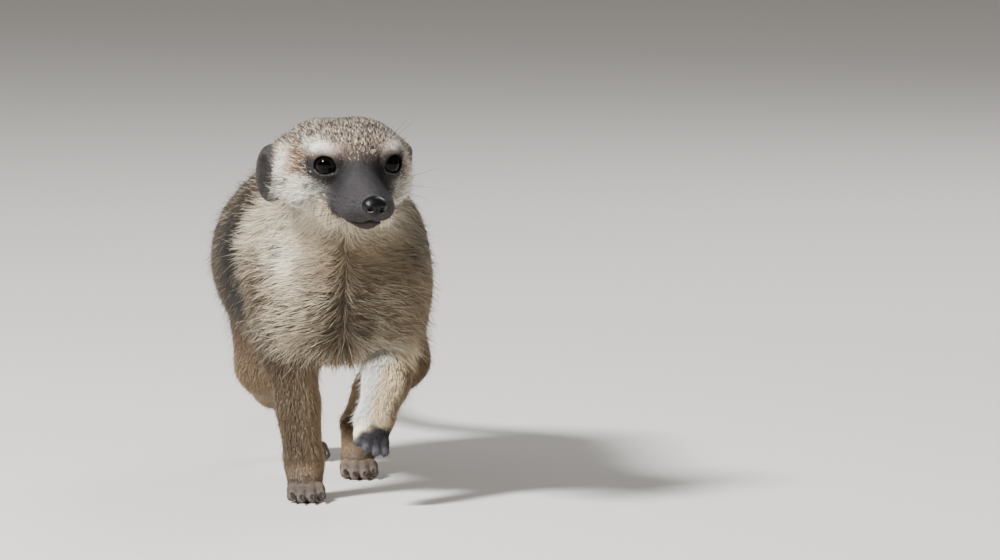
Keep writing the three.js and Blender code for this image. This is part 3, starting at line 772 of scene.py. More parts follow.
def markings_and_painted_light(points, normals, parts, own, colours):
    """Each point's colour with its painted light and shade, its shares of pale and dark tips, their
    contrast, and the chest's rim on its lit side.
    """
    tone = {k: linear(getattr(colours, k)) for k in setting_names(colours)}
    q = to_head(points)
    m = mirrored(q) + 0.5 * ripple(points, 9, 3)[:, None]
    x, y, _ = points.T

    ear_front = 2.6 + 0.06 * np.maximum(-m[:, 2] - 8, 0) ** 2
    on_ear = (1 - ramp(ellipsoid(m, EAR_AT, EAR_RADII), -0.5, 1.2)) * ramp(m[:, 1] - ear_front, -1.0, 0.8)
    head, grizzle = head_tones(q, m, on_ear, tone)
    zones = barrel_zones(points, normals)
    barrel = barrel_tones(points, normals, 1 - ramp(parts["head"], 7, 22), zones, tone)
    tail = painted(tone, "tail", [
        ("back", (1 - ramp(y, 120, 165)) * 0.7),
        ("tail_tip", ramp(y + 4 * ripple(points, 12, 8), 272, 290)),
    ])
    colour = own["head"][:, None] * head + own["barrel"][:, None] * barrel
    colour += own["ears"][:, None] * ear_tones(m, ear_front, tone)
    colour += own["tail"][:, None] * tail
    feet = np.zeros(len(points))
    for name, shape in LEGS.items():
        leg, foot = leg_tones(name, shape, points, normals, tone)
        feet += own[name] * foot
        colour += own[name][:, None] * leg

    front, high, band = zones.front, zones.high, zones.band
    legs = sum(own[n] for n in LEGS) - feet.clip(0, 1)
    rows = ramp(ripple(points * [0.35, 1, 1], 7, 77), -0.3, 0.6)
    # the throat under the chin: fewer pale and dark tips and lower contrast, partly for its short plain fur,
    # partly painted shade of the head
    soft = spot(points, (-2, -94, 115), (24, 22, 16), 0.5)
    # painted light and shade: the chest's lit side gets more pale tips and more contrast, its shaded side
    # fewer pale tips and less contrast
    shaded = front * ramp(x, 4, 22)
    seam = front * np.exp(-((zones.middle / 14) ** 2))
    # the chest's rim on its lit side: pale tips there are a painted highlight, and its hairs also stand
    # further out
    edges = 4 * front * (1 - front) + 4 * zones.armpit * (1 - zones.armpit) * front
    rim = edges.clip(0, 1) * ramp(-x, -10, 10)
    lit = front * (1 - 0.7 * zones.parting) * (1 - 0.5 * shaded) * (1 - 0.8 * zones.armpit)

    pale = own["barrel"] * (0.02 + 0.2 * high + lit * (0.35 + 0.45 * rows) + 0.8 * rim) * (1 - 0.6 * soft)
    pale *= (1 - 0.85 * band) * (1 - 0.6 * zones.streak)
    pale += own["head"] * 0.3 * grizzle + own["tail"] * 0.25 * (1 - ramp(y, 265, 285)) + legs * 0.14
    dark = own["barrel"] * (0.34 - 0.04 * front + 0.3 * band) * (1 - 0.9 * soft)
    dark += own["head"] * (0.12 + 0.38 * ramp(q[:, 2], 2, 12)) * grizzle
    dark += own["tail"] * 0.2 + legs * 0.14 * (1 - ramp(colour.mean(1), 0.25, 0.5))
    vivid = 1 + 0.45 * own["head"] - 0.8 * legs
    vivid -= 0.5 * own["head"] * spot(m, (24.5, -5.5, 2.5), (7, 10, 8), 0.6)
    plain = 1.3 * soft + 0.9 * shaded + 1.1 * seam + 0.35 * (1 - front) * (1 - high)
    vivid += own["barrel"] * (0.8 * lit + 0.3 * rim - plain)
    return colour, pale, dark, vivid, rim * own["barrel"]


# ------------------------------------------------------------------ meshes and materials
def bare_mesh(name, points, faces):
    """A mesh of arrays of points and faces."""
    mesh = bpy.data.meshes.new(name)
    mesh.vertices.add(len(points))
    mesh.vertices.foreach_set("co", points.astype(np.float32).ravel())
    mesh.loops.add(faces.size)
    mesh.loops.foreach_set("vertex_index", faces.astype(np.int32).ravel())
    mesh.polygons.add(len(faces))
    mesh.polygons.foreach_set("loop_start", np.arange(0, faces.size, faces.shape[1], dtype=np.int32))
    mesh.update(calc_edges=True)
    return mesh


def vertex_vectors(mesh, key):
    """Each vertex's "co" or "normal"."""
    values = np.empty(len(mesh.vertices) * 3, np.float32)
    mesh.vertices.foreach_get(key, values)
    return values.reshape(-1, 3).astype(float)


def mesh_object(name, points, faces):
    """A smooth mesh in metres from points in millimetres. Faces are an array, or a list of lists."""
    placed = (np.asarray(points) + SHIFT) * MM
    if isinstance(faces, np.ndarray):
        mesh = bare_mesh(name, placed, faces)
    else:
        mesh = bpy.data.meshes.new(name)
        mesh.from_pydata(placed.tolist(), [], faces)
    mesh.validate()
    mesh.polygons.foreach_set("use_smooth", [True] * len(mesh.polygons))
    made = bpy.data.objects.new(name, mesh)
    bpy.context.scene.collection.objects.link(made)
    return made


def add_colours(made, name, colours):
    layer = made.data.color_attributes.new(name, "FLOAT_COLOR", "POINT")
    rgba = np.ones((len(colours), 4), np.float32)
    rgba[:, :3] = colours
    layer.data.foreach_set("color", rgba.ravel())


def new_material(name, roughness, specular=0.5):
    material = bpy.data.materials.new(name)
    material.use_nodes = True
    tree = material.node_tree
    shader = tree.nodes["Principled BSDF"]
    shader.inputs["Roughness"].default_value = roughness
    shader.inputs["Specular IOR Level"].default_value = specular
    return material, shader, tree


def add_texture(tree, kind, scale):
    """A texture that lies by the object's own coordinates."""
    place = tree.nodes.new("ShaderNodeTexCoord")
    texture = tree.nodes.new(kind)
    texture.inputs["Scale"].default_value = scale
    tree.links.new(place.outputs["Object"], texture.inputs["Vector"])
    return texture


def add_relief(tree, height, strength, distance, invert=False):
    """A bump from a texture's value, on the material's shader."""
    relief = tree.nodes.new("ShaderNodeBump")
    relief.inputs["Strength"].default_value = strength
    relief.inputs["Distance"].default_value = distance
    relief.invert = invert
    tree.links.new(height, relief.inputs["Height"])
    tree.links.new(relief.outputs["Normal"], tree.nodes["Principled BSDF"].inputs["Normal"])


def coloured_material(name, attribute, roughness, specular, grain, bump, variation):
    """A finish that takes its colour from the mesh, with fine uneven grain in colour and in relief."""
    material, shader, tree = new_material(name, roughness, specular)
    colour = tree.nodes.new("ShaderNodeVertexColor")
    colour.layer_name = attribute
    noise = add_texture(tree, "ShaderNodeTexNoise", grain)
    noise.inputs["Detail"].default_value = 3
    reach = tree.nodes.new("ShaderNodeMapRange")
    reach.inputs["To Min"].default_value = 1 - variation
    reach.inputs["To Max"].default_value = 1 + variation
    mix = tree.nodes.new("ShaderNodeMix")
    mix.data_type = "RGBA"
    mix.blend_type = "MULTIPLY"
    mix.inputs["Factor"].default_value = 1
    tree.links.new(noise.outputs["Fac"], reach.inputs["Value"])
    tree.links.new(colour.outputs["Color"], mix.inputs["A"])
    tree.links.new(reach.outputs["Result"], mix.inputs["B"])
    tree.links.new(mix.outputs["Result"], shader.inputs["Base Color"])
    if bump:
        add_relief(tree, noise.outputs["Fac"], 0.6, bump)
    return material


def mottled_material(name, kind, output, scale, low, high, roughness, specular=0.5, relief=0,
                     invert=False):
    """A finish whose colour and relief follow a texture, from one colour where it's low to another."""
    material, shader, tree = new_material(name, roughness, specular)
    value = add_texture(tree, kind, scale).outputs[output]
    tones = tree.nodes.new("ShaderNodeValToRGB")
    tones.color_ramp.elements[0].color = (*low, 1)
    tones.color_ramp.elements[1].color = (*high, 1)
    tree.links.new(value, tones.inputs["Fac"])
    tree.links.new(tones.outputs["Color"], shader.inputs["Base Color"])
    if relief:
        add_relief(tree, value, relief, 0.0002, invert)
    return material


# ------------------------------------------------------------------ the skin
def refined(points, quads, where, rounds):
    """Splits the faces chosen by where(centres, round) in four."""
    mesh = bare_mesh("draft", points, quads)
    for n in range(rounds):
        bm = bmesh.new()
        bm.from_mesh(mesh)
        centres = np.array([f.calc_center_median() for f in bm.faces])
        chosen = where(centres, n)
        edges = {e for f, use in zip(bm.faces, chosen) if use for e in f.edges}
        bmesh.ops.subdivide_edges(bm, edges=list(edges), cuts=1, use_grid_fill=True)
        bm.to_mesh(mesh)
        bm.free()
    points = vertex_vectors(mesh, "co")
    faces = [list(p.vertices) for p in mesh.polygons]
    bpy.data.meshes.remove(mesh)
    return points, faces


def face_zone(centres, n):
    """Where the skin's net is split: the face, feet and ears first, then eyes and mouth, then the lids."""
    q = to_head(centres)
    m = mirrored(q)
    if n == 0:
        feet = np.min([np.linalg.norm(centres - leg["ball"], axis=1) for leg in LEGS.values()], axis=0)
        ears = np.linalg.norm(m - EAR_AT, axis=1) < 14
        return (q[:, 1] < 6) & (np.abs(q[:, 2]) < 26) & (m[:, 0] < 32) | (feet < 14) | ears
    if n == 2:
        ring = np.zeros(len(q), bool)
        for s in (1, -1):
            x, y, z = lid_coordinates(q, s)
            ring |= (np.hypot(x, y * 1.15) > 4) & (np.hypot(x, y) < 6.8) & (z > 2) & (z < 8)
        return ring
    eye = np.linalg.norm(m - EYE_AT, axis=1) < 9.5
    return eye | ((off_mouth(q) < 2.2) & (q[:, 1] < -18) & (m[:, 0] < 22))


def add_lid_colours(colour, q, sizes, colours):
    """The pale rims of the lids, and the dark edges of their openings."""
    rim = linear(colours.muzzle) * 1.8
    for side in (1, -1):
        x, y, z = lid_coordinates(q, side)
        edge = lid_opening(q, side, sizes)
        near = (z > 0) & (np.hypot(x, y) < 9)
        lid = near * (1 - ramp(edge, 0.6, 1.0)) * (0.15 + 0.85 * ramp(-y, 0.5, 3))
        colour += (rim - colour) * lid[:, None]
        colour *= (1 - 0.92 * near * (1 - ramp(edge, 0.25, 0.55)))[:, None]


class MEERKAT_OT_skin(bpy.types.Operator):
    """Builds the one skin under the coat, with its lids, mouth and ears"""

    bl_idname = "meerkat.skin"
    bl_label = "Build the skin"

    def execute(self, context):
        sizes, colours = context.scene.meerkat_sizes, context.scene.meerkat_colours
        form = partial(skin_form, sizes=sizes)
        points, faces = refined(*net_of_form(form, SKIN_LOW, SKIN_HIGH, SKIN_CELL), face_zone, SKIN_SPLITS)
        points = settle(form, points, rounds=4, reach=0.8)
        skin = mesh_object("skin", points, faces)
        parts = distances(points)
        plan, own = coat_plan(points, parts, sizes)
        colour = markings_and_painted_light(points, vertex_vectors(skin.data, "normal"), parts, own, colours)[0]
        # painted shade: the skin darkened where the coat over it is deep
        colour *= (1 - 0.7 * ramp(plan[:, 0], 0.6, 3))[:, None]
        add_lid_colours(colour, to_head(points), sizes, colours)
        add_colours(skin, "coat", colour)
        skin.data.materials.append(coloured_material(
            "skin", "coat", roughness=0.75, specular=0.25, grain=900, bump=0.0006, variation=0.22))
        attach(skin, "root")
        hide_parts(*FLESH)
        return {"FINISHED"}


# ------------------------------------------------------------------ the coat
def lie_on_head(q):
    """The way the head's hairs run: back from the nose, round the eyes, and down at the cheeks and jaw."""
    s = np.sign(q[:, 0])
    head = q - np.array([0, -52, -5])
    head /= np.linalg.norm(head, axis=1, keepdims=True)
    head[:, 1] += 0.35
    cheek = ramp(-q[:, 2], 2, 12) * ramp(q[:, 1], -22, -4)
    head += cheek[:, None] * np.column_stack([s * 0.35, 0 * s + 0.25, 0 * s - 0.4])
    fringe = spot(mirrored(q), JAW_AT, JAW_RADII, 0.5)
    head += fringe[:, None] * np.column_stack([s * 0.2, 0 * s - 0.5, 0 * s - 1.6])
    for side in (1, -1):
        away = q - EYE_AT * [side, 1, 1]
        d = np.linalg.norm(away, axis=1)
        head += away / d[:, None] * (1.6 * np.exp(-np.maximum(d - 6, 0) / 2.2))[:, None]
    return head @ HEAD_AXES.T


def lie_on_barrel(points, normals):
    """The way the trunk's hairs run: back and down, and out from the parting of the chest."""
    x, y, z = points.T
    barrel = np.column_stack([0 * x, 1 + 0 * x, -0.35 - 0.25 * np.abs(normals[:, 0])])
    front = ramp(-y, 54, 72) * ramp(-normals[:, 1], -0.1, 0.5)
    out = np.tanh((x + 1.5) / 1.6)
    breast = np.column_stack([out * (1.2 - 0.5 * ramp(z, 112, 130)), 0.25 + 0 * x,
                              -0.16 - 0.6 * ramp(z, 110, 130) - 0.9 * ramp(-z, -78, -64)])
    return barrel + front[:, None] * (breast - barrel)


def lie_of_coat(points, normals, own):
    """The way the hairs run, along the skin."""
    q = to_head(points)
    flow = own["head"][:, None] * lie_on_head(q) + own["barrel"][:, None] * lie_on_barrel(points, normals)
    along = np.zeros_like(points)
    for a, b in zip(TAIL_LINE, TAIL_LINE[1:]):
        w = ramp(points[:, 1], a[1] - 8, a[1] + 8)[:, None]
        along += w * ((b - a) / np.linalg.norm(b - a) - along)
    flow += own["tail"][:, None] * along
    ear = mirrored(q) - (EAR_AT - [9, 3, 2])
    ear[:, 0] *= np.sign(q[:, 0])
    ear /= np.linalg.norm(ear, axis=1, keepdims=True)
    flow += own["ears"][:, None] * (ear @ HEAD_AXES.T)
    for name, leg in LEGS.items():
        line = np.array([*leg["line"], leg["ball"], leg["tip"]], float)
        best = np.full(len(points), 1e9)
        down = np.zeros_like(points)
        for a, b in zip(line, line[1:]):
            d = round_cone(points, a, b, 0, 0)
            near = d < best
            best[near] = d[near]
            down[near] = (b - a) / np.linalg.norm(b - a)
        down[:, 1] += 0.25 * ramp(points[:, 2], 24, 40)
        flow += own[name][:, None] * down
    return flow


def hanging(roots, ways, own):
    """How much the hairs hang: along the edge of the jaw, and under the front of the belly."""
    q = to_head(roots)
    jaw = spot(mirrored(q), JAW_AT, JAW_RADII, 0.5) * own["head"] * ramp(-ways[:, 2], 0.0, 0.5)
    jaw *= ramp(q[:, 1], -27, -23)
    belly = spot(roots, (-2, -62, 60), (26, 34, 12), 0.5) * own["barrel"] * ramp(-ways[:, 2], 0.3, 0.8)
    return jaw, belly


def scattered_roots(skin, sizes):
    """Roots on the skin in numbers that follow the plan of the coat."""
    mesh = skin.data
    mesh.calc_loop_triangles()
    tri = np.empty(len(mesh.loop_triangles) * 3, np.int32)
    mesh.loop_triangles.foreach_get("vertices", tri)
    tri = tri.reshape(-1, 3)
    corners = (vertex_vectors(mesh, "co") / MM - SHIFT)[tri]
    first, second, third = corners.transpose(1, 0, 2)
    area = np.linalg.norm(np.cross(second - first, third - first), axis=1) / 2
    middle = corners.mean(1)
    density = coat_plan(middle, distances(middle), sizes)[0][:, 3]
    rng = np.random.default_rng(sizes.seed)
    number = np.floor(area * density + rng.random(len(area))).astype(int)
    source = np.repeat(np.arange(len(area)), number)
    a, b = rng.random(len(source)), rng.random(len(source))
    flip = a + b > 1
    a[flip], b[flip] = 1 - a[flip], 1 - b[flip]
    w = np.column_stack([1 - a - b, a, b])
    roots = np.einsum("ij,ijk->ik", w, corners[source])
    ways = np.einsum("ij,ijk->ik", w, vertex_vectors(mesh, "normal")[tri[source]])
    ways /= np.linalg.norm(ways, axis=1, keepdims=True)
    q = to_head(roots)
    keep = (roots[:, 2] > 1.0) & (ellipsoid(q, NOSE_AT, NOSE_RADII + 0.3) > 0) & (off_mouth(q) > 0.4)
    for side in (1, -1):
        x, y, z = lid_coordinates(q, side)
        keep &= ~((lid_opening(q, side, sizes) < 1.0) & (z > 0) & (np.hypot(x, y) < 8))
    return roots[keep], ways[keep], rng


def new_hairs(roots, ways, rng, sizes, colours):
    """The hairs by their roots: how deep the coat is there, and each hair's length, width and colour."""
    n, parts = len(roots), distances(roots)
    plan, own = coat_plan(roots, parts, sizes)
    h = SimpleNamespace(roots=roots, ways=ways, own=own, base=roots - ways * ROOT_DEPTH,
                        depth=plan[:, 0], planned=plan[:, 1])
    h.stray = rng.normal(0, 1, (n, 3)) * (0.4 + 0.9 * own["head"] + 1.2 * own["barrel"])[:, None]
    h.colour, h.pale, h.dark, h.vivid, h.edge = markings_and_painted_light(roots + h.stray, ways, parts, own, colours)
    h.curved = (h.planned > CURVED_FROM) & (rng.random(n) < CURVED_SHARE)
    h.long = h.planned * np.where(h.curved, rng.uniform(0.85, 1.25, n), rng.uniform(0.55, 1.0, n))
    h.width = plan[:, 2] * rng.uniform(0.75, 1.2, n)
    h.loose = own["barrel"] + 0.6 * own["tail"]
    h.limbs = sum(own[name] for name in LEGS)
    return h


def comb(h, rng):
    """Lays the hairs along the skin, each turned a little from the next."""
    flow = lie_of_coat(h.roots, h.ways, h.own)
    flow -= h.ways * (flow * h.ways).sum(1, keepdims=True)
    flow /= np.linalg.norm(flow, axis=1, keepdims=True) + 1e-9
    across = np.cross(h.ways, flow)
    turn = rng.normal(0, 0.26, len(flow)) + (0.12 + 0.1 * h.loose) * ripple(h.roots, 13, 21)
    h.flow = flow * np.cos(turn)[:, None] + across * np.sin(turn)[:, None]
    h.across = np.cross(h.ways, h.flow)


def stand_up(h, rng, sizes):
    """Brings middles and tips to their heights over the skin. Guard hairs are long, thin and stand out."""
    n, roots, barrel = len(h.roots), h.roots, h.own["barrel"]
    stand = rng.uniform(0.4, 1.0, n) * (1 + 1.1 * h.edge)
    q = to_head(roots)
    h.wisps = spot(roots, (-3, -88, 84), (14, 20, 14), 0.5) * barrel
    shaggy = spot(roots, (40, -44, 80), (16, 34, 26), 0.5) * barrel
    sides = h.own["head"] * ramp(np.abs(q[:, 0]), 20, 25) * ramp(q[:, 1], -20, -10)
    often = 0.12 * h.loose + 0.3 * h.edge + 0.3 * shaggy + 0.18 * h.limbs + 0.1 * sides
    guard = h.guard = (h.curved | (sides > 0.5)) & (rng.random(n) < often)
    more = 0.7 * shaggy + 0.7 * h.limbs + 0.6 * sides
    stand[guard] = rng.uniform(1.05, 1.55, guard.sum()) + (more * rng.random(n))[guard]
    h.long[guard] *= 1 + 0.9 * h.wisps[guard]
    h.long[guard] *= 1.25
    h.width[guard] *= 0.85
    lift = np.maximum(h.depth, 0.16 * h.long)
    h.middle = roots + h.flow * (h.long * 0.5)[:, None] + h.ways * (lift * 0.45)[:, None]
    h.tip = roots + h.flow * (h.long * 0.98)[:, None] + h.ways * (lift * 0.7)[:, None]
    form = partial(skin_form, sizes=sizes)
    for at, height, which in ((h.middle, 0.55 * lift, np.nonzero(h.curved)[0]),
                              (h.tip, lift * stand, np.arange(n))):
        p = at[which]
        value = form(p)
        g, steep = slope(form, p, value)
        at[which] = p + g * ((height[which] - value) / steep).clip(-6, 6)[:, None]


def hang_down(h, rng):
    """Lets the hairs of the jaw's edge and of the belly's front hang."""
    jaw, belly = hanging(h.roots, h.ways, h.own)
    hang = h.hang = np.nonzero(rng.random(len(jaw)) < 1.4 * jaw + 0.8 * belly)[0]
    h.fringe = hang[jaw[hang] > belly[hang]]
    fall = h.ways[hang] * 0.45 + h.flow[hang] * 0.5 + np.array([0, 0, -1.0])
    fall += h.across[hang] * rng.normal(0, 0.25, (len(hang), 1))
    fall *= (h.long * rng.uniform(0.6, 1.1, len(jaw)) * (0.9 - 0.15 * (belly > jaw)))[hang, None]
    h.middle[hang] = h.roots[hang] + fall * 0.5 + h.ways[hang] * 0.4
    h.tip[hang] = h.roots[hang] + fall
    h.tip += h.across * (ripple(h.roots, 7, 40) * 0.05 * h.long)[:, None]


def colour_ends(h, colours):
    """The colour of the tips: of the place that they reach, and of their roots."""
    there = distances(h.tip)
    h.end = markings_and_painted_light(h.tip + h.stray, h.ways, there, shares(there), colours)[0]
    h.end += (h.colour - h.end) * (0.3 + 0.55 * h.own["barrel"])[:, None]
    h.end[h.hang] = h.colour[h.hang] * 1.2


def gathered(roots, values, cell, warp_seed):
    """The mean of the values over each lock of neighbouring hairs."""
    warp = np.column_stack([ripple(roots, cell * 4, warp_seed + n) for n in range(3)]) * cell * 0.6
    key = np.floor((roots + warp) / cell).astype(np.int64)
    flat = key @ np.array([1, 4001, 4001 * 4001])
    _, inverse = np.unique(flat, return_inverse=True)
    count = np.bincount(inverse).astype(float)
    return [np.column_stack([np.bincount(inverse, v[:, n]) / count for n in range(3)])[inverse]
            for v in values], inverse


def gather_locks(h, rng):
    """Pulls neighbouring hairs together. A lock has one tint, and most of its hairs the same kind of tip."""
    h.chance = rng.random(len(h.roots))
    for low, high, size in LOCKS:
        some = np.nonzero((h.planned >= low) & (h.planned < high))[0]
        if not len(some):
            continue
        roots = h.roots[some]
        offsets = [h.tip[some] - roots, h.middle[some] - roots, roots]
        (tips, middles, home), lock = gathered(roots, offsets, size, 60)
        pull = (rng.uniform(0.1, 0.65, len(some)) * (1.25 if low > 6 else 1))[:, None]
        pull[h.guard[some]] = 0
        pull[np.isin(some, h.hang)] = 0.7
        h.tip[some] += (home + tips - h.tip[some]) * pull
        h.middle[some] += (home + middles - h.middle[some]) * pull * 0.35
        tint = rng.normal(0, 0.14, lock.max() + 1)[lock].clip(-0.4, 0.4)
        tint = (1 + tint * h.vivid[some])[:, None]
        h.colour[some] *= tint
        h.end[some] *= tint
        shared = rng.random(len(some)) < 0.6 - 0.35 * h.limbs[some] + 0.2 * h.own["head"][some]
        h.chance[some[shared]] = rng.random(lock.max() + 1)[lock][shared]


def hair_tones(h, rng, colours):
    """The colour of each hair at its root, its middle and its tip, with painted shade towards the root."""
    vivid = h.vivid.clip(0.15, 1.6)
    mix = rng.random((len(h.fringe), 1)) ** 0.7
    h.colour[h.fringe] = h.end[h.fringe] = linear(colours.jaw) * (1 - mix) + linear(colours.ruff) * mix
    tint = (1 + rng.normal(0, 0.17, len(vivid)) * vivid).clip(0.5, 1.6)[:, None]
    start, end = h.colour * tint, h.end * tint
    pale = h.pale + h.guard * h.own["barrel"] * (0.1 + 0.5 * h.wisps)
    # painted shade in the underfur: roots and middles darkened where the coat is deep, less so in pale
    # places
    deep = ramp(h.depth, 0.7, 2.4)[:, None]
    deep[h.hang] *= 0.3
    bright = ramp(end.mean(1), 0.2, 0.6)[:, None]
    is_pale = (h.chance < pale * np.where(h.curved, 1.25, 0.8))[:, None]
    is_dark = (h.chance > 1 - h.dark * (1 - 0.4 * bright[:, 0]))[:, None] & ~is_pale
    vivid = vivid[:, None]
    first = start * (0.8 - (0.65 - 0.2 * bright) * deep * vivid.clip(0, 1))
    second = (start + end) / 2 * (1 - (0.15 - 0.2 * bright) * deep)
    third = end * 1.12
    light = linear(colours.pale_tip)
    third = np.where(is_pale, third + (light - third) * (0.85 * vivid).clip(0, 0.95), third)
    second = np.where(is_pale, second + (light - second) * 0.35 * vivid, second)
    third = np.where(is_dark, third * 0.22 ** vivid, third)
    second = np.where(is_dark, second * 0.42 ** vivid, second)
    shaded = second * (1 - (0.4 - 0.25 * bright) * deep * vivid.clip(0, 1))
    return [c.clip(0, 1) for c in (first, np.where(h.curved[:, None], second, shaded), third)]


def hair_mesh(name, h, part, tones):
    """Closed three-sided hairs: a ring of corners at the root, one at the middle if curved, and a tip."""
    first, second, third = (t[part] for t in tones)
    rings = [(h.base[part], 1.0, 1.0, second)]
    if h.curved[part[0]]:
        rings = [(h.base[part], 1.0, 0.9, first), (h.middle[part], 0.8, 0.9, second)]
    side, up = h.across[part], h.ways[part]
    points, colours = [], []
    for at, share, height, tone in rings:
        half = (h.width[part] * share / 2)[:, None]
        points += [at - side * half, at + side * half, at + up * half * height]
        colours += [tone] * 3
    corners = len(points) + 1
    faces = np.arange(len(part))[:, None, None] * corners + np.array(HAIR_FACES[corners])
    made = mesh_object(name, np.stack([*points, h.tip[part]], 1).reshape(-1, 3), faces.reshape(-1, 3))
    add_colours(made, "coat", np.stack([*colours, third], 1).reshape(-1, 3))
    return made, corners


def unwrapped(points, own_name):
    """Each root's place on an unwrap of its part of the skin: the way round, and the way along."""
    if own_name in ("head", "ears"):
        q = to_head(points)
        return np.arctan2(q[:, 0], q[:, 2] + 2), q[:, 1]
    if own_name == "barrel":
        return np.arctan2(points[:, 0], points[:, 2] - 98), points[:, 1]
    line, along, others = TAIL_LINE, 1, (0, 2)
    if own_name != "tail":
        line, along, others = np.array(LEGS[own_name]["line"], float)[::-1], 2, (0, 1)
    a, b = (points[:, n] - np.interp(points[:, along], line[:, along], line[:, n]) for n in others)
    return np.arctan2(a, b), points[:, along]


def add_bake_map(made, around, along, corners):
    """The OFBake map: a small patch for each hair, at its root's place on the unwrap."""
    per_vertex = []
    for way, (step, steps) in zip((around, along), HAIR_PATCH[corners]):
        spread = 0.01 + 0.975 * (way - way.min()) / max(float(np.ptp(way)), 1e-6)
        per_vertex.append(spread[:, None] + step * np.array(steps)[None])
    layer = made.data.uv_layers.new(name="OFBake")
    index = np.empty(len(made.data.loops), np.int32)
    made.data.loops.foreach_get("vertex_index", index)
    uv = np.stack(per_vertex, 2).reshape(-1, 2)[index]
    layer.data.foreach_set("uv", uv.astype(np.float32).ravel())


def coat_pieces(h):
    """The name, region and hairs of each piece. A piece holds short or curved hairs of one region."""
    names = list(h.own)
    owner = np.argmax(np.stack([h.own[k] for k in names], 1), 1)
    for number, name in enumerate(names):
        for label, curved, most in ((f"coat_{name}_short", False, MOST_SHORT),
                                    (f"coat_{name}", True, MOST_CURVED)):
            where = np.nonzero((owner == number) & (h.curved == curved))[0]
            if len(where) < FEWEST:
                continue
            where = where[np.argsort(h.roots[where, 1], kind="stable")]
            pieces = np.array_split(where, math.ceil(len(where) / most))
            for i, part in enumerate(pieces):
                yield label if len(pieces) == 1 else f"{label}_{i + 1}", name, part


class MEERKAT_OT_coat(bpy.types.Operator):
    """Grows the coat: solid hairs that lie along the skin, in one piece or more for each region"""

    bl_idname = "meerkat.coat"
    bl_label = "Grow the coat"

    def execute(self, context):
        sizes, colours = context.scene.meerkat_sizes, context.scene.meerkat_colours
        skin = bpy.data.objects.get("skin")
        if skin is None:
            raise RuntimeError("build the skin first")
        roots, ways, rng = scattered_roots(skin, sizes)
        h = new_hairs(roots, ways, rng, sizes, colours)
        comb(h, rng)
        stand_up(h, rng, sizes)
        hang_down(h, rng)
        colour_ends(h, colours)
        gather_locks(h, rng)
        tones = hair_tones(h, rng, colours)

        material = coloured_material("coat", "coat", roughness=0.6, specular=0.3, grain=2600, bump=0,
                                     variation=0.12)
        for title, region, part in coat_pieces(h):
            made, corners = hair_mesh(title, h, part, tones)
            add_bake_map(made, *unwrapped(roots[part], region), corners)
            made.data.materials.append(material)
            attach(made, "root")
        return {"FINISHED"}


# ------------------------------------------------------------------ eyes and nose
def globe(columns, rows):
    """Unit directions of a sphere whose pole is +Z, with its faces."""
    points = [(0, 0, 1)]
    for r in range(1, rows):
        t = math.pi * r / rows
        for c in range(columns):
            a = 2 * math.pi * c / columns
            points.append((math.sin(t) * math.cos(a), math.sin(t) * math.sin(a), math.cos(t)))
    points.append((0, 0, -1))
    last, lowest = len(points) - 1, 1 + (rows - 2) * columns
    faces = []
    for c in range(columns):
        faces.append([0, 1 + c, 1 + (c + 1) % columns])
    for r in range(rows - 2):
        a, b = 1 + r * columns, 1 + (r + 1) * columns
        faces += [[a + c, b + c, b + (c + 1) % columns, a + (c + 1) % columns] for c in range(columns)]
    faces += [[last, lowest + (c + 1) % columns, lowest + c] for c in range(columns)]
    return np.array(points, float), faces


def eye_tones(unit, polar, colours):
    """The spokes of the iris, its dark ring and the pupil."""
    iris, ring = linear(colours.iris), linear((0.05, 0.04, 0.035))
    spokes = 1 + 0.25 * np.sin(np.arctan2(unit[:, 1], unit[:, 0]) * 23 + 3 * np.sin(polar * 30))
    tone = iris * spokes[:, None] * (0.6 + 0.9 * ramp(polar, 0.4, 0.75))[:, None]
    tone = tone + (ring - tone) * ramp(polar, 0.74, 0.84)[:, None]
    pupil = 1 - ramp(np.hypot(unit[:, 0] * 0.8, unit[:, 1] * 1.15), 0.36, 0.41)
    return tone * (1 - 0.97 * pupil)[:, None]


class MEERKAT_OT_eyes(bpy.types.Operator):
    """Builds the two eyes, each a dark iris under a clear bulging cornea"""

    bl_idname = "meerkat.eyes"
    bl_label = "Build the eyes"

    def execute(self, context):
        sizes, colours = context.scene.meerkat_sizes, context.scene.meerkat_colours
        material = coloured_material("eye", "iris", roughness=0.3, specular=0, grain=1500, bump=0,
                                     variation=0.1)
        shader = material.node_tree.nodes["Principled BSDF"]
        shader.inputs["Coat Weight"].default_value = 0.4
        shader.inputs["Coat IOR"].default_value = 1.34
        shader.inputs["Coat Roughness"].default_value = 0.03
        unit, faces = globe(columns=72, rows=56)
        polar = np.arccos(unit[:, 2].clip(-1, 1))
        r = sizes.eye_radius / MM * (1 + 0.055 * np.exp(-((polar / 0.42) ** 4)))
        for label, side in (("left", 1), ("right", -1)):
            local = (unit * r[:, None]) @ np.stack(eye_axes(side))
            eye = mesh_object(f"eyeball_{label}", from_head(local + EYE_AT * [side, 1, 1]), faces)
            add_colours(eye, "iris", eye_tones(unit, polar, colours))
            eye.data.materials.append(material)
            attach(eye, "root")
            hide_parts(f"eye_{label}")
        return {"FINISHED"}


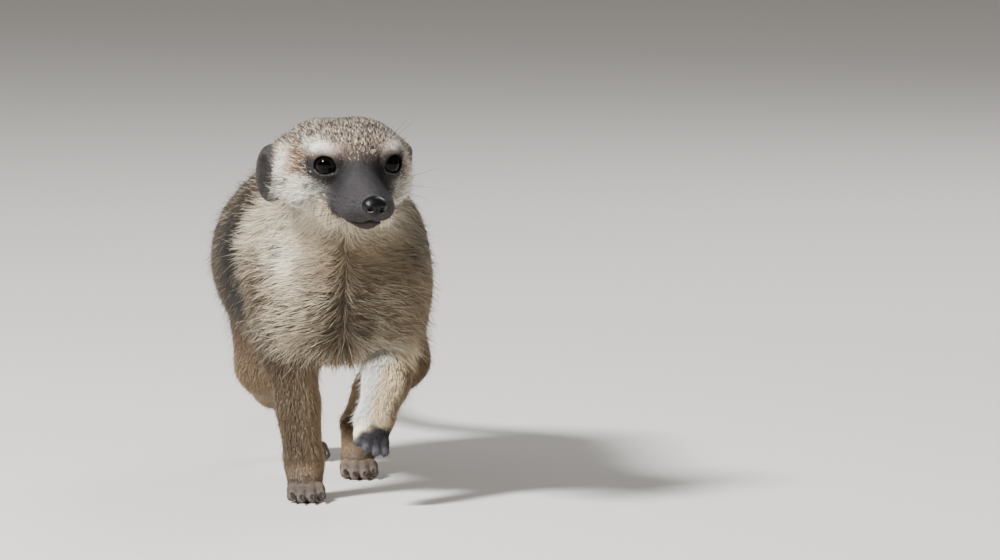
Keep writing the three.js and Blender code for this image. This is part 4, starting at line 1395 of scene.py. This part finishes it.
class MEERKAT_OT_nose(bpy.types.Operator):
    """Builds the nose leather with its nostrils and groove"""

    bl_idname = "meerkat.nose"
    bl_label = "Build the nose"

    def execute(self, context):
        unit, faces = globe(columns=96, rows=72)
        unit = unit[:, [0, 2, 1]] * [1, -1, 1]
        x, y, z = (unit * NOSE_RADII).T
        x = x * (1 + 0.10 * np.tanh(z / 2) - 0.16 * ramp(-z, 1.2, 4.4))
        front = ramp(-y, 0, 2.5)
        for side in (1, -1):
            nostril = np.hypot((x - side * 2.35) / 1.25, (z + 0.5) / 1.05)
            y = y + 1.9 * np.exp(-(nostril ** 2) * 1.3) * front
            slit = np.hypot((x - side * 4.0) / 1.7, (z + 1.3 - (abs(x) - 3) * 0.1) / 0.5)
            y = y + 0.9 * np.exp(-(slit ** 2)) * front
            wing = np.hypot((x - side * 3.1) / 1.5, (z - 1.0) / 0.9)
            y = y - 0.35 * np.exp(-(wing ** 2)) * front
        y = y + 0.6 * np.exp(-((x / 0.42) ** 2)) * ramp(-z, -1.5, 1.0) * front
        nose = mesh_object("nose_leather", from_head(np.column_stack([x, y, z]) + NOSE_AT), faces)
        base = linear(context.scene.meerkat_colours.nose)
        nose.data.materials.append(mottled_material(
            "nose leather", "ShaderNodeTexVoronoi", "Distance", scale=2200, low=base * 1.5,
            high=base * 0.5, roughness=0.4, specular=0.22, relief=0.16, invert=True))
        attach(nose, "root")
        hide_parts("nose")
        return {"FINISHED"}


# ------------------------------------------------------------------ claws and whiskers
def horn(line, radii, sides):
    """A closed tube along a line of points that narrows to its last point."""
    points, faces = [], []
    tangent = np.gradient(line, axis=0)
    tangent /= np.linalg.norm(tangent, axis=1, keepdims=True)
    guide = np.array([1.0, 0, 0]) if abs(tangent[0][0]) < 0.8 else np.array([0, 0, 1.0])
    for at, way, r in zip(line[:-1], tangent[:-1], radii[:-1]):
        a = np.cross(way, guide)
        a /= np.linalg.norm(a)
        b = np.cross(way, a)
        points += [at + r * (a * math.cos(t) + b * math.sin(t))
                   for t in 2 * math.pi * np.arange(sides) / sides]
    last = len(points)
    points.append(line[-1])
    for ring in range(0, last, sides):
        for c in range(sides):
            d = (c + 1) % sides
            if ring + sides < last:
                faces.append([ring + c, ring + d, ring + sides + d, ring + sides + c])
            else:
                faces.append([ring + c, ring + d, last])
    faces.append(list(reversed(range(sides))))
    return points, faces


def joined_horns(name, horns):
    points, faces = [], []
    for p, f in horns:
        faces += [[i + len(points) for i in face] for face in f]
        points += p
    return mesh_object(name, np.array(points), faces)


def claw_curve(line, reach):
    """A claw's middle line, from the end of its toe, down and out."""
    forward = line[2] - line[1]
    forward /= np.linalg.norm(forward)
    start = line[2] - forward * 0.6 + np.array([0, -0.2, 0.5])
    end = line[2] + reach
    end[2] = max(end[2], 0.35)
    bend = (start + end) / 2 + np.array([0, 0, 1.3]) + forward * 0.9
    t = np.linspace(0, 1, 10)[:, None]
    return (1 - t) ** 2 * start + 2 * t * (1 - t) * bend + t ** 2 * end, t[:, 0]


class MEERKAT_OT_claws(bpy.types.Operator):
    """Builds the long curved claws of each foot"""

    bl_idname = "meerkat.claws"
    bl_label = "Build the claws"

    def execute(self, context):
        base = linear(context.scene.meerkat_colours.claw)
        material = mottled_material("claw horn", "ShaderNodeTexNoise", "Fac", scale=700, low=base * 0.5,
                                    high=base * 2.2, roughness=0.35, relief=0.3)
        r = context.scene.meerkat_sizes.claw_radius / MM
        for name, leg in LEGS.items():
            horns = []
            for line in toe_lines(leg):
                curve, t = claw_curve(line, np.array(leg["claw"], float))
                horns.append(horn(curve, r * (1 - t ** 1.6 * 0.9), sides=10))
            claws = joined_horns(f"claws_{name.replace('leg', 'foot')}", horns)
            claws.data.materials.append(material)
            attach(claws, "root")
        return {"FINISHED"}


def whisker_plan(side):
    """Start, way, share of the full length and how much it varies, for each whisker of a side."""
    for row in range(4):
        for column in range(4):
            u, v = column / 3, row / 3
            yield ([side * (6.5 + 4.5 * u), -43 + 13 * u, -9.5 - 6.0 * v],
                   [side * (1.0 - 0.15 * u), 0.25 + 0.55 * u, 0.55 - 0.85 * v], 0.5 + 0.5 * u, (0.75, 1.05))
    for n in range(3):
        way = [side * (0.6 + 0.3 * n), 0.2 * n, 1.0]
        yield [side * (11 + 3.2 * n), -20 + 2.5 * n, 12], way, 1, (0.4, 0.62)
    for n in range(3):
        yield [side * (24 + n), -8 + 3 * n, -6 - 3 * n], [side, 0.1, 0.35 - 0.3 * n], 1, (0.5, 0.75)


class MEERKAT_OT_whiskers(bpy.types.Operator):
    """Builds the whiskers of the muzzle, cheeks and brows"""

    bl_idname = "meerkat.whiskers"
    bl_label = "Build the whiskers"

    def execute(self, context):
        sizes = context.scene.meerkat_sizes
        rng = np.random.default_rng(sizes.seed + 1)
        longest, thick = sizes.whisker_length / MM, sizes.whisker_radius / MM
        starts, ways, lengths = [], [], []
        for side in (1, -1):
            for start, way, share, spread in whisker_plan(side):
                starts.append(start)
                ways.append(way)
                lengths.append(longest * share * rng.uniform(*spread))
        starts = settle(partial(skin_form, sizes=sizes), from_head(starts), rounds=4, reach=3)
        horns = []
        t = np.linspace(0, 1, 9)[:, None]
        for start, way, far in zip(starts, ways, lengths):
            way = np.array(way) + rng.normal(0, 0.1, 3)
            way = HEAD_AXES @ (way / np.linalg.norm(way))
            droop = np.array([0, 0.10 * far, -0.12 * far])
            curve = start - way * 0.4 + way * far * t + droop * t ** 2
            horns.append(horn(curve, thick * (1 - 0.85 * t[:, 0]), sides=4))
        whiskers = joined_horns("whiskers", horns)
        whiskers.data.materials.append(mottled_material(
            "whisker", "ShaderNodeTexNoise", "Fac", scale=60, low=(0.006, 0.005, 0.004),
            high=(0.06, 0.05, 0.04), roughness=0.4))
        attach(whiskers, "root")
        return {"FINISHED"}


# ------------------------------------------------------------------ the studio
def aimed(thing, place, way):
    """Puts a lamp or camera at a place, looking along a way."""
    made = bpy.data.objects.new(thing.name, thing)
    bpy.context.scene.collection.objects.link(made)
    made.location = place
    made.rotation_euler = way.to_track_quat("-Z", "Y").to_euler()
    return made


class MEERKAT_OT_stage(bpy.types.Operator):
    """Lays the floor, hangs the lights and sets the camera"""

    bl_idname = "meerkat.stage"
    bl_label = "Set the stage"

    def execute(self, context):
        scene = context.scene
        bpy.ops.mesh.primitive_circle_add(vertices=96, radius=FLOOR_RADIUS, fill_type="NGON")
        floor = context.object
        floor.name = "floor"
        material, shader, _ = new_material("studio floor", 0.9)
        shader.inputs["Base Color"].default_value = (*linear(scene.meerkat_colours.floor), 1)
        floor.data.materials.append(material)

        scene.world = bpy.data.worlds.new("studio")
        scene.world.use_nodes = True
        background = scene.world.node_tree.nodes["Background"]
        background.inputs["Color"].default_value = WORLD_COLOUR
        background.inputs["Strength"].default_value = WORLD_STRENGTH

        for name, place, power, size in LAMPS:
            lamp = bpy.data.lights.new(name, "AREA")
            lamp.energy, lamp.size = power, size
            aimed(lamp, place, Vector(LAMPS_AIM) - Vector(place))

        azimuth, elevation = CAMERA_AZIMUTH, CAMERA_ELEVATION
        back = Vector((math.sin(azimuth) * math.cos(elevation), -math.cos(azimuth) * math.cos(elevation),
                       math.sin(elevation)))
        right = Vector((math.cos(azimuth), math.sin(azimuth), 0))
        up = right.cross(-back)
        target = Vector(((np.array(AIM_POINT) + SHIFT) * MM))
        target -= right * (AIM_COLUMN - FRAME_WIDE / 2) * METRES_PER_PIXEL
        target -= up * (FRAME_HIGH / 2 - AIM_ROW) * METRES_PER_PIXEL
        lens = bpy.data.cameras.new("camera")
        lens.sensor_width = SENSOR
        lens.lens = SENSOR * CAMERA_DISTANCE / (FRAME_WIDE * METRES_PER_PIXEL)
        lens.clip_end = 50
        scene.camera = aimed(lens, target + back * CAMERA_DISTANCE, -back)
        return {"FINISHED"}


class VIEW3D_PT_meerkat(bpy.types.Panel):
    """The meerkat's sizes, colours and building steps"""

    bl_label = "Meerkat"
    bl_idname = "VIEW3D_PT_meerkat"
    bl_space_type = "VIEW_3D"
    bl_region_type = "UI"
    bl_category = "Meerkat"

    def draw(self, context):
        layout = self.layout
        for operator in STEPS:
            layout.operator(operator.bl_idname)
        for group in (context.scene.meerkat_sizes, context.scene.meerkat_colours):
            box = layout.box()
            for key in setting_names(group):
                box.prop(group, key)


STEPS = [MEERKAT_OT_skin, MEERKAT_OT_coat, MEERKAT_OT_eyes, MEERKAT_OT_nose, MEERKAT_OT_claws,
         MEERKAT_OT_whiskers, MEERKAT_OT_stage]
CLASSES = [MeerkatSizes, MeerkatColours, *STEPS, VIEW3D_PT_meerkat]


def register():
    for made in CLASSES:
        bpy.utils.register_class(made)
    bpy.types.Scene.meerkat_sizes = PointerProperty(type=MeerkatSizes)
    bpy.types.Scene.meerkat_colours = PointerProperty(type=MeerkatColours)


def unregister():
    del bpy.types.Scene.meerkat_colours
    del bpy.types.Scene.meerkat_sizes
    for made in reversed(CLASSES):
        bpy.utils.unregister_class(made)


def main():
    register()
    bpy.ops.meerkat.skin()
    bpy.ops.meerkat.coat()
    bpy.ops.meerkat.eyes()
    bpy.ops.meerkat.nose()
    bpy.ops.meerkat.claws()
    bpy.ops.meerkat.whiskers()
    bpy.ops.meerkat.stage()


if __name__ == "__main__":
    main()
